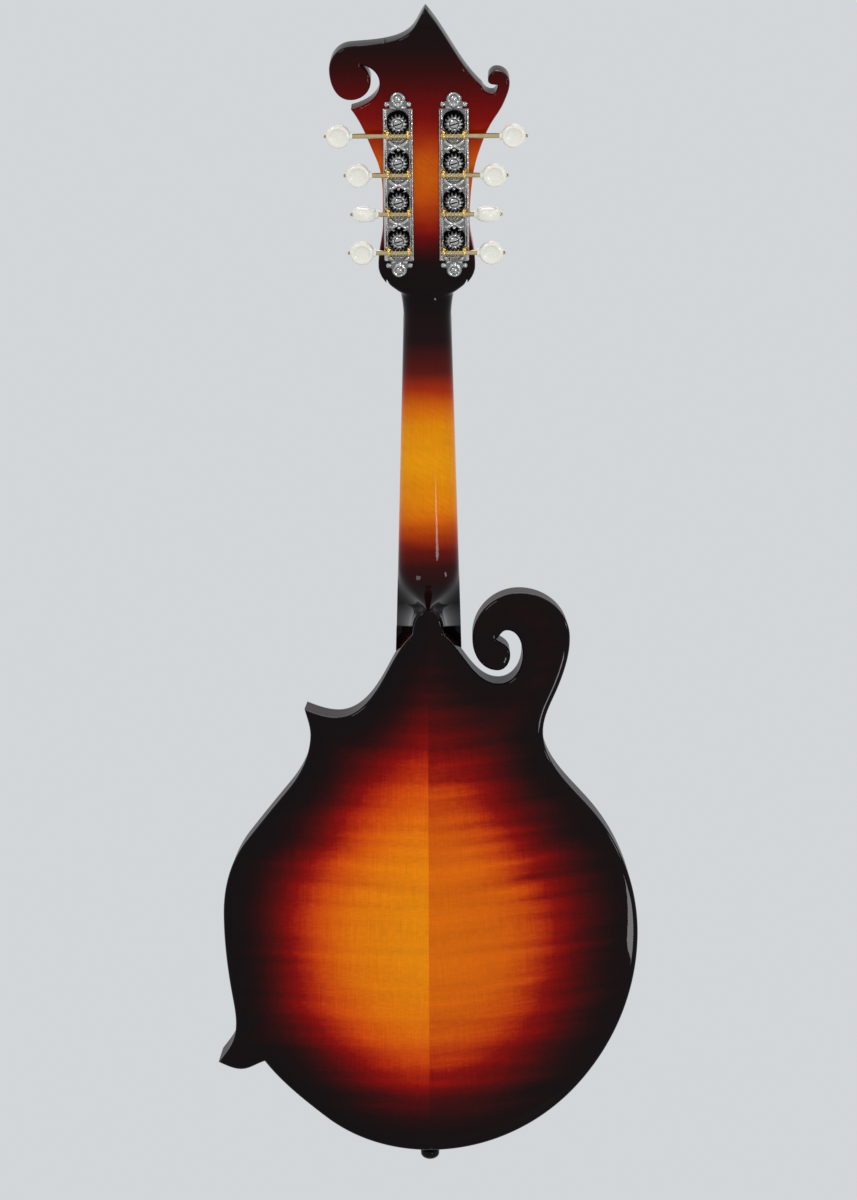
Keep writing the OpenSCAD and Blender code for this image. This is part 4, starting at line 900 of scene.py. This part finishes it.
quarter = np.vstack([[(9, 0), (5.25, 0)], bow(6.3, 2.6, 1.7, -128, 128, 16), [(5.25, 4.5)],
                     bow(0, 5.4, 4.6, -11.3, 90, 14)])
end_shape = np.vstack([quarter, (quarter * [-1, 1])[::-1][1:]])
edge_marks = np.linspace(PLATE_LOW, PLATE_HIGH, 90)[1:-1]
right_edge = np.stack([np.full(len(edge_marks), PLATE_W / 2), edge_marks], 1)
plate_loop = np.vstack([end_shape + [0, PLATE_HIGH], (right_edge * [-1, 1])[::-1],
                        -end_shape + [0, PLATE_LOW], right_edge])
DOMES = [(3.3, -13.4, 3.3, 1.25, 38, 0.75), (2.6, -16.3, 2.3, 1.0, -30, 0.6),
         (0, -14.6, 1.1, 1.5, 0, 0.8), (0, -17.3, 0.9, 0.9, 0, 0.6), (5.0, -16.6, 0.8, 0.8, 0, 0.55),
         (4.9, -11.6, 0.9, 0.9, 0, 0.6), (1.3, -11.5, 1.0, 0.7, 0, 0.5), (3.4, -18.6, 1.2, 0.6, 20, 0.45)]
LEAVES = [(0, 2.2, 1.0, 1.9, 0, 0.7), (1.9, 3.0, 0.8, 1.9, -28, 0.6), (6.3, 2.6, 1.1, 1.1, 0, 0.6),
          (3.4, 0.6, 1.4, 0.7, 20, 0.5), (0, 9.2, 1.4, 0.5, 0, 0.5), (2.6, 7.6, 0.6, 1.6, 42, 0.5)]


def domes(x, v, rows):
    lift = np.zeros(len(x))
    for cx, cv, rx, rv, tilt, tall in rows:
        c, s = math.cos(math.radians(tilt)), math.sin(math.radians(tilt))
        for side in (1, -1):
            dx, dv = side * x - cx, v - cv
            reach = ((dx * c + dv * s) / rx) ** 2 + ((dv * c - dx * s) / rv) ** 2
            lift = np.maximum(lift, tall * np.sqrt(np.maximum(0, 1 - reach)))
    return lift


def relief(spots):
    x, s = spots[:, 0], spots[:, 1]
    body = (s > PLATE_LOW) & (s < PLATE_HIGH)
    rim = np.clip(1.9 - np.abs(np.abs(x) - 8.2) / 0.42, 0, 1) * 0.5 * body
    lift = rim
    well = np.zeros(len(x))
    for station in STATIONS:
        near = np.hypot(x, (s - station) * 0.96)
        well = np.maximum(well, np.clip((7.1 - near) / 0.5, 0, 1))
        lift = np.maximum(lift, domes(x, s - station, DOMES[:8]) * (near > 6.9)
                          * (s > PLATE_LOW + 1))
    for end, line in ((1, PLATE_HIGH), (-1, PLATE_LOW)):
        lift = np.maximum(lift, domes(x, (s - line) * end, LEAVES))
        ring = np.abs(np.hypot(x, (s - line) * end - 5.8) - 3.3)
        lift = np.maximum(lift, 0.5 * np.clip(1.6 - ring / 0.3, 0, 1))
    inner = np.abs(x) < 6.9
    # Punched matting: a fine regular chequer in the ground between the ornaments.
    matt = 0.08 * np.sin(x * 4.4) * np.sin(s * 4.4) * inner * (lift < 0.1)
    lift = lift - 0.55 * well * inner * (lift < 0.1) + matt
    # Darker the lower a place lies: blacking on the ground between the ornaments, and painted shade in the
    # wells round the wheels.
    dark = np.where(lift < 0.12, np.where(inner, 0.55, 0.12), 0.0) + 0.4 * well * inner
    return lift, np.clip(dark - 0.35 * np.clip(lift, 0, 1), 0, 1)


spots, tris = fill([plate_loop], 0.36, (0.12, 0.35))
lift, dark = relief(spots)
edge_drop = rounded(edge_distance(spots, plate_loop), 0.3)
points, faces, used = plate(spots, tris, PLATE_FACE - lift + edge_drop, np.full(len(spots), -HEAD_T))
for side, sign in (("bass", 1), ("treble", -1)):
    flange = np.where((points[:, 0] * -sign > 8.0) & (points[:, 1] < PLATE_FACE + 0.5)
                      & (points[:, 2] > PLATE_LOW) & (points[:, 2] < PLATE_HIGH), 0.5, 0)
    parts = [(points + np.outer(flange, [0, -1, 0]) + [sign * POST_X, 0, 0], faces)]
    plate_faces = len(faces)
    for station in STATIONS:
        for ear in (-6, 6):
            across = sign * POST_X + ear
            cheek = turned([(0.01, -0.8), (2.0, -0.8), (2.4, -0.45), (2.4, 0.45), (2.0, 0.8), (0.01, 0.8)], 32)
            parts.append((tipped(cheek[0], "+X") + [across, WORM_Y, station - WORM_DROP], cheek[1]))
            a = np.linspace(-90, 90, 9)
            ball = turned([(1.25 * max(0.01, math.cos(math.radians(t))), 1.25 * math.sin(math.radians(t)))
                           for t in a], 20)
            parts.append((ball[0] + [across, WORM_Y - 0.9, station - WORM_DROP + 2.2], ball[1]))
            foot = turned([(1.5, 0.0), (1.5, WORM_Y * -1 + PLATE_FACE)], 12)
            parts.append((foot[0] * [0.53, 1, 1.5] + [across, WORM_Y, station - WORM_DROP], foot[1]))
    whole, all_faces = joined(parts)
    depth = np.zeros(len(whole))
    depth[:len(points)] = np.tile(dark[used], 2)
    mesh_piece(f"engraved_plate_{side}", in_head(whole), all_faces, [nickel, ears_painted_warm_reflection],
               stands_for=[f"tuner_plate_{side}"], numbers={"depth": depth},
               finish_of=[0 if i < plate_faces else 1 for i in range(len(all_faces))], corner=50)


# %% Beads along the borders
def bead_rows(tree, given):
    row = add(tree, "GeometryNodeMeshLine", given["Beads"], None, (6.7, 0, PLATE_LOW + 1),
              (0, 0, (PLATE_HIGH - PLATE_LOW - 2) / 85))
    other = add(tree, "GeometryNodeTransform", row, Translation=(-13.4, 0, 0))
    both = tree.nodes.new("GeometryNodeJoinGeometry")
    tree.links.new(row, both.inputs[0])
    tree.links.new(other, both.inputs[0])
    ball = add(tree, "GeometryNodeMeshIcoSphere", given["Bead radius"], 2)
    return add(tree, "GeometryNodeInstanceOnPoints", both.outputs[0], None, ball)


for side, sign in (("bass", 1), ("treble", -1)):
    beads = by_nodes(f"border_beads_{side}", bead_rows, nickel, plain_mesh("empty", []),
                     {"Beads": 86, "Bead radius": 0.4})
    placed(beads, lambda p: in_head(p + [sign * POST_X, PLATE_FACE - 0.05, 0]))
    piece_from(beads, f"border_beads_{side}")

# %% [markdown]
# ## Wheels, worms and buttons
# Each post carries a toothed wheel whose face is chased with petals round a domed screw.
# The wheel's mesh follows its polar form. Worms are a thread swept along its helix. Buttons
# are turned, with a shallow dish on both faces, a hub towards the shaft and a small beaded
# screw at the outer end.

# %% The posts
GAUGES = [0.28, 0.28, 0.38, 0.38, 0.66, 0.66, 1.0, 1.0]
TEETH, WHEEL_T, POST_D, POST_H, WRAP_Y = 14, 3.2, 6.0, 13.0, 7.0


def wheel():
    around, across = TEETH * 10, 22
    a = np.arange(around) * 2 * math.pi / around
    tooth = 0.5 + 0.5 * np.tanh(3.2 * np.cos(TEETH * a + math.pi * (TEETH / 2 + 1)))
    tip = 4.15 + 1.45 * tooth
    rings, depth = [], []
    for k in range(1, across + 1):
        share = k / across
        r = tip * share
        petals = 0.32 * np.abs(np.cos(4 * a)) ** 0.6 * np.exp(-((r - 3.5) / 0.75) ** 2)
        cup = 0.3 * np.exp(-((r - 2.55) / 0.3) ** 2)
        edge = 0.45 * np.clip((share - 0.88) / 0.12, 0, 1) ** 2
        y = WORM_Y - WHEEL_T / 2 - petals + cup + edge
        rings.append(np.stack([r * np.cos(a), y, r * np.sin(a)], 1))
        # Darkness: blacking on the ground between the petals, painted shade in the recessed cup and rim.
        depth.append(np.clip(0.62 - 1.9 * petals + cup + edge * 0.3, 0, 1))
    # The far side of the wheel is darkened as painted shade.
    rings.append(np.stack([tip * np.cos(a), np.full(around, WORM_Y + WHEEL_T / 2), tip * np.sin(a)], 1))
    depth.append(np.full(around, 0.5))
    points, faces = loft(rings)
    return points, faces, np.concatenate(depth)


def slotted_dome(r, tall, slot):
    """A round screw head that bulges towards -Y, cut by a driver's slot."""
    ring = bow(0, 0, r, 0, 354, 40)
    spots, tris = fill([ring], r / 12, (r / 25,), lines=[])
    reach = np.hypot(spots[:, 0], spots[:, 1]) / r
    dome = tall * np.sqrt(np.maximum(0.03, 1 - 0.86 * reach ** 2))
    cut = np.clip((slot / 2 + 0.1 - np.abs(spots[:, 1] - 0.3 * spots[:, 0])) / 0.1, 0, 1)
    outer = -dome + 0.6 * tall * cut
    points, faces, used = plate(spots, tris, outer, np.zeros(len(spots)))
    # The slot is darkened as painted shade.
    return points, faces, np.tile(0.9 * cut[used], 2)


wheel_points, wheel_faces, wheel_blacking_and_shade = wheel()
dome_points, dome_faces, slot_painted_shade = slotted_dome(2.5, 1.2, 0.55)
shaft = turned([(2.2, WORM_Y), (3.8, WORM_Y + WHEEL_T / 2), (3.8, PLATE_FACE - 0.05),
                (3.0, PLATE_FACE), (3.0, 1.8 + POST_H - 0.2), (2.9, 1.8 + POST_H), (2.25, 2.8 + POST_H),
                (1.2, 2.95 + POST_H)], 40)


def winding(tree, given):
    """Turns of string round the post, from the soundboard side up."""
    turns = add(tree, "ShaderNodeMath", given["Turns"], given["Gauge"], operation="MULTIPLY")
    reach = add(tree, "ShaderNodeMath", given["Gauge"], 0.5, given["Post radius"], operation="MULTIPLY_ADD")
    helix = add(tree, "GeometryNodeCurveSpiral", 36, given["Turns"], reach, reach, turns)
    ring = add(tree, "GeometryNodeCurvePrimitiveCircle", 10)
    ring.node.inputs["Radius"].default_value = 1
    radius = add(tree, "ShaderNodeMath", given["Gauge"], 0.5, operation="MULTIPLY")
    ring = add(tree, "GeometryNodeTransform", ring)
    tree.links.new(add(tree, "ShaderNodeCombineXYZ", radius, radius, radius), ring.node.inputs["Scale"])
    return add(tree, "GeometryNodeCurveToMesh", helix, ring, Fill_Caps=None)


for side, sign in (("bass", 1), ("treble", -1)):
    for i, station in enumerate(STATIONS):
        name = f"{side}_{i + 1}"
        spot = [sign * POST_X, 0, station]
        parts = [(wheel_points, wheel_faces), shaft,
                 (dome_points + [0, WORM_Y - WHEEL_T / 2 + 0.1, 0], dome_faces)]
        points, faces = joined(parts)
        depth = np.concatenate([wheel_blacking_and_shade, np.zeros(len(shaft[0])), slot_painted_shade])
        mesh_piece(f"wheel_and_post_{name}", in_head(points + spot), faces, [nickel],
                   body=f"post_{name}", stands_for=[f"post_{name}"],
                   numbers={"depth": depth}, corner=40)
        gauge = GAUGES[i if side == "treble" else 7 - i]
        coil = by_nodes(f"string_turns_{name}", winding, bronze if gauge > 0.5 else steel,
                        plain_mesh("empty", []), {"Turns": 3.0, "Gauge": gauge, "Post radius": POST_D / 2})
        placed(coil, lambda p: in_head(tipped(p[:, [0, 2, 1]], "-Y") * [1, 1, 1]
                                       + np.array(spot) + [0, WRAP_Y + 0.4, 0]))
        piece_from(coil, f"string_turns_{name}", f"post_{name}")


# %% The worms and their shafts
TOOTH_PITCH = 2 * math.pi * (WORM_DROP - 2.5) / TEETH
BUTTON_D, BUTTON_T = 14.4, 6.6
REACH, TURN = [39, 37.2, 40.8, 52.2], [0, 90, 0, 0]


def worm_thread():
    """One trapezium carried along its helix; its turns match the wheel's teeth."""
    reach = math.floor(4.3 / TOOTH_PITCH * 36) * 10
    rings = []
    for a in np.radians(np.arange(-reach, reach + 1, 12)):
        along = TOOTH_PITCH * a / (2 * math.pi)
        corners = [(-0.5, 1.35), (-0.22, 3.0), (-0.1, 3.1), (0.1, 3.1), (0.22, 3.0), (0.5, 1.35)]
        rings.append(np.array([[c + along, -r * math.sin(a), r * math.cos(a)] for c, r in corners]))
    points, faces = loft(rings)
    return points, [f[::-1] for f in faces]


def worm_shaft(reach):
    end = reach + BUTTON_D / 2
    rows = [(0.4, -7.9), (1.2, -7.9), (1.5, -7.6), (1.5, -4.95), (1.7, -4.95), (1.7, 4.95), (1.5, 4.95),
            (1.5, end - 0.1), (1.3, end + 0.02), (1.3, end + 0.35), (0.8, end + 0.6), (0.8, end + 0.72),
            (1.15, end + 0.9), (1.15, end + 1.2), (0.4, end + 1.4)]
    points, faces = turned(rows, 32)
    return tipped(points, "+X"), faces


def button(turn_degrees):
    r, t, dish = BUTTON_D / 2, BUTTON_T / 2, 0.7
    lip = [(r - 1.6 + 1.6 * math.sin(a), t - 2 + 2 * math.cos(a)) for a in np.linspace(0, math.pi / 2, 8)]
    face = [(0.02, t - dish), (r - 3.4, t - dish), (r - 2.6, t - 0.45), (r - 2.0, t - 0.08)] + lip
    rows = face + [(a, -b) for a, b in face[::-1]]
    points, faces = turned([(a, -b) for a, b in rows], 56)
    hub = turned([(2.5, -1.2 - r), (2.5, 0.4 - r), (2.9, 1.4 - r), (2.6, 2.6 - r), (1.0, 2.8 - r)], 32)
    hub = (tipped(hub[0], "+X"), hub[1])
    points, faces = joined([(points, faces), hub])
    c, s = math.cos(math.radians(turn_degrees)), math.sin(math.radians(turn_degrees))
    return np.stack([points[:, 0], points[:, 1] * c - points[:, 2] * s,
                     points[:, 1] * s + points[:, 2] * c], 1), faces


thread_points, thread_faces = worm_thread()
for side, sign in (("bass", 1), ("treble", -1)):
    for i, station in enumerate(STATIONS):
        name = f"{side}_{i + 1}"
        spot = np.array([sign * POST_X, WORM_Y, station - WORM_DROP])
        reach = REACH[i] * (frame_width / 107) - POST_X
        shaft_points, shaft_faces = worm_shaft(reach)
        button_points, button_faces = button(TURN[i])
        button_points = button_points + [reach, 0, 0]
        if sign < 0:
            shaft_points, button_points = shaft_points * [-1, 1, 1], button_points * [-1, 1, 1]
            shaft_faces, button_faces = [f[::-1] for f in shaft_faces], [f[::-1] for f in button_faces]
        points, faces = joined([(shaft_points, shaft_faces), (thread_points, thread_faces)])
        # The thread darkens towards its root: painted shade between the turns.
        depth = np.concatenate([np.zeros(len(shaft_points)),
                                np.clip(1.1 - np.hypot(*thread_points[:, 1:].T) / 3.1, 0, 1)])
        mesh_piece(f"worm_and_shaft_{name}", in_head(points + spot), faces, [warm_reflection_nickel],
                   body=f"key_{name}", stands_for=[f"worm_{name}"],
                   numbers={"depth": depth}, corner=30)
        mesh_piece(f"ivoroid_button_{name}", in_head(button_points + spot), button_faces, [ivoroid],
                   body=f"key_{name}", stands_for=[f"button_{name}"], corner=40)

# %% [markdown]
# ## Frets by the rule of the scale
# Each fret leaves a string 1/2 to the power 1/12 of its length, so the twelfth fret halves
# it. The node tree places one fret wire by that rule and widens it with the board.

# %% The frets
SCALE, FRET_COUNT, BOARD_T = 352.0, 22, 5.5
crown = [(1.15 * math.cos(a), 1.1 * math.sin(a)) for a in np.linspace(0, math.pi, 13)]
wire = loft([np.array([(x, BOARD_T + 0.01 + y, z) for z, y in crown[::1 if x < 0 else 1]])
             for x in (1, -1)])


def fret_rule(tree, given):
    number = add(tree, "ShaderNodeMath", add(tree, "GeometryNodeInputIndex"), 1, operation="ADD")
    octaves = add(tree, "ShaderNodeMath", number, -12, operation="DIVIDE")
    left = add(tree, "ShaderNodeMath", 2, octaves, operation="POWER")
    height = add(tree, "ShaderNodeMath", weighted(tree, -1, (left, 1)), given["Scale length"],
                 operation="MULTIPLY")
    half = weighted(tree, NUT_W / 2 - 0.9, (height, (NUT_W - JOINT_W) / 2 / (SCALE * (1 - 2 ** -1.25))))
    spots = add(tree, "GeometryNodeSetPosition", add(tree, "GeometryNodeMeshLine", given["Frets"]),
                None, add(tree, "ShaderNodeCombineXYZ", 0, 0, height))
    return add(tree, "GeometryNodeInstanceOnPoints", spots, None, given["Start"], None, None, None,
               add(tree, "ShaderNodeCombineXYZ", half, 1, 1))


frets = by_nodes("fret_wires", fret_rule, fret_nickel, plain_mesh("one_fret", *wire),
                 {"Frets": FRET_COUNT, "Scale length": SCALE})
piece_from(placed(frets, in_neck), "fret_wires", stands_for=["frets"])

# %% [markdown]
# ## Small screws at their holes
# One domed, slotted head is instanced on the holes of each group.

# %% The screws
def on_holes(tree, given):
    head = add(tree, "GeometryNodeObjectInfo", given["Screw"]).node.outputs["Geometry"]
    points = add(tree, "GeometryNodeMeshToPoints", given["Start"])
    return add(tree, "GeometryNodeInstanceOnPoints", points, None, head)


def screw_group(name, r, tall, axis, holes, place, node):
    points, faces, _ = slotted_dome(r, tall, 0.32 * r)
    shank = turned([(r * 0.5, -0.2), (r * 0.5, 0.6)], 16)
    points, faces = joined([(tipped(tipped(points, "-Y"), axis), faces),
                            (tipped(tipped(shank[0], "-Y"), axis), shank[1])])
    model = bpy.data.objects.new(name + "_model", plain_mesh(name + "_model", points, faces))
    bpy.context.scene.collection.objects.link(model)
    mesh = by_nodes(name, on_holes, nickel, plain_mesh(name + "_holes", holes), {"Screw": model})
    bpy.data.objects.remove(model)
    piece_from(placed(mesh, place), name, stands_for=[node])


screw_group("plate_screw_heads", 1.9, 1.1, "-Y",
            [(s * POST_X, PLATE_FACE - 0.02, z) for s in (-1, 1)
             for z in (PLATE_HIGH + 5.8, PLATE_LOW - 5.8)], in_head, "tuner_plate_screws")

# %% [markdown]
# ## The end pin
# A turned ebony pin in the tail block, with a bead and a small collar, that holds the
# tailpiece and the strap.

# %% Turn the end pin
pin_low, pin_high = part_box("end_pin")
PIN_TOP, PIN_R = NUT_Z + pin_high.z / MM, 3.9
PIN_END = NUT_Z + pin_low.z / MM
head_r = (pin_high.x - pin_low.x) / 2 / MM
rows = [(0.05, PIN_END)] + [(head_r * math.sin(a), PIN_END + 4 * (1 - math.cos(a)))
                            for a in np.radians(np.arange(10, 91, 8))]
rows += [(head_r, PIN_END + 6), (4.5, PIN_END + 7.2), (4.2, PIN_END + 8.2), (4.9, PIN_END + 9.2),
         (4.9, -1.05), (PIN_R, -1.0), (PIN_R, PIN_TOP), (0.05, PIN_TOP)]
points, faces = turned(rows, 48)
points = np.stack([points[:, 0], points[:, 2], points[:, 1]], 1)
mesh_piece("turned_end_pin", in_body(points), [f[::-1] for f in faces], [black_lacquer],
           stands_for=["end_pin"], corner=50)

# %% [markdown]
# ## The other solids keep their shape
# Board, nut, bridge, tailpiece and the parts inside already have the right form. A copy of
# each gets its points merged, smooth shading and its own finish, and most also get their sharp
# edges eased by a small bevel that catches the light.

# %% Eased copies of the solids
def eased(node, paint, width=0.0, slices=2):
    source = frame["nodes"][node]
    body = source["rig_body"]
    work = bmesh.new()
    work.from_mesh(source.data)
    bmesh.ops.remove_doubles(work, verts=work.verts, dist=0.000002)
    bmesh.ops.dissolve_limit(work, angle_limit=math.radians(1), verts=work.verts, edges=work.edges)
    mesh = bpy.data.meshes.new(node + "_finished")
    work.to_mesh(mesh)
    work.free()
    mesh.materials.clear()
    mesh.materials.append(paint)
    mesh.shade_smooth()
    mesh.set_sharp_from_angle(angle=math.radians(35))
    if width:
        carrier = bpy.data.objects.new("carrier", mesh)
        bpy.context.scene.collection.objects.link(carrier)
        soften = carrier.modifiers.new("ease", "BEVEL")
        soften.width, soften.segments, soften.limit_method = width * MM, slices, "ANGLE"
        soften.use_clamp_overlap = True
        result = bpy.data.meshes.new_from_object(
            carrier.evaluated_get(bpy.context.evaluated_depsgraph_get()))
        bpy.data.objects.remove(carrier)
        mesh = result
    piece_from(mesh, node + "_finished", body, [node])


eased("fingerboard", ebony, 0.25)
eased("nut", bone, 0.2)
eased("fret_markers", pearl)
eased("truss_rod_cover", black_lacquer, 0.3)
eased("truss_cover_screws", nickel)
eased("bridge_base", ebony, 0.35)
eased("bridge_saddle", ebony, 0.3)
eased("tailpiece_cover", nickel, 0.15)
eased("tailpiece_base", nickel, 0.1)
for node in ("tailpiece_screws", "bridge_studs", "post_bushings", "thumbwheel_bass",
             "thumbwheel_treble"):
    eased(node, nickel, 0.08 if node.startswith("thumb") else 0)
eased("strings", steel)
eased("truss_rod", steel)
for node in ("head_block", "point_blocks", "tail_block"):
    eased(node, bare_maple, 0.3)
for node in ("back_lining", "top_lining", "tone_bars"):
    eased(node, bare_spruce)
hidden = [n for n, o in frame["nodes"].items() if not o.hide_render]
print("solids still shown as they are:", hidden)

# %% [markdown]
# ## Studio
# The mandolin hangs in the air over a small pale floor, in a plain, pale, even light that
# the gloss reflects as it is. A colour looks about as it was mixed. Soft boxes add the long
# highlight down the neck and the thin ones along the edges. They stand where no flat side
# wall mirrors them to the viewer. The floor lies well below and keeps a soft shadow.

# %% Ground and world
turn = np.linspace(0, 2 * math.pi, 96, endpoint=False)
floor_z = cad_box[0][2] - 0.50
ground = plain_mesh("floor", np.stack([1.2 * np.cos(turn), 1.2 * np.sin(turn), turn * 0 + floor_z], 1),
                    [tuple(range(96))])
pale, tree, surface = material("pale_matt_floor", {"Roughness": 0.9})
specks = grain(tree, wood_place(tree), (0.004, 0.004, 0.004))
tree.links.new(ramp(tree, specks, [(0.2, "#c9cbcc"), (0.8, "#d2d4d5")]), surface["Base Color"])
# Seen from below, the floor lets the view through.
under = add(tree, "ShaderNodeNewGeometry").node.outputs["Backfacing"]
shown = add(tree, "ShaderNodeMixShader", under, tree.nodes["Principled BSDF"].outputs[0],
            add(tree, "ShaderNodeBsdfTransparent"))
tree.links.new(shown, tree.nodes["Material Output"].inputs[0])
ground.materials.append(pale)
floor = bpy.data.objects.new("floor", ground)
bpy.context.scene.collection.objects.link(floor)

world = bpy.data.worlds.new("pale_studio")
bpy.context.scene.world = world
world.use_nodes = True
world.node_tree.nodes.clear()
add(world.node_tree, "ShaderNodeOutputWorld",
    add(world.node_tree, "ShaderNodeBackground", colour("#d3d6d9"), 1.0))
bpy.context.scene.view_settings.view_transform = "Standard"


# %% Soft boxes
def soft_box(name, place, size, power):
    lamp = bpy.data.lights.new(name, "AREA")
    lamp.shape, lamp.size, lamp.size_y, lamp.energy = "RECTANGLE", *size, power
    box = bpy.data.objects.new(name, lamp)
    bpy.context.scene.collection.objects.link(box)
    box.location = place
    box.rotation_euler = (middle_of_body - box.location).to_track_quat("-Z", "Z").to_euler()


middle_of_body = (rib_low + rib_high) / 2
soft_box("key", (-1.7, -1.9, 1.7), (0.9, 0.9), 24)
soft_box("neck_highlight", (0.68, -1.45, -0.635), (0.20, 0.28), 3.4)
soft_box("right_edge", (1.9, -1.0, 0.2), (0.25, 0.5), 7)
soft_box("front_top", (0.3, 1.7, 2.4), (1.2, 1.2), 14)
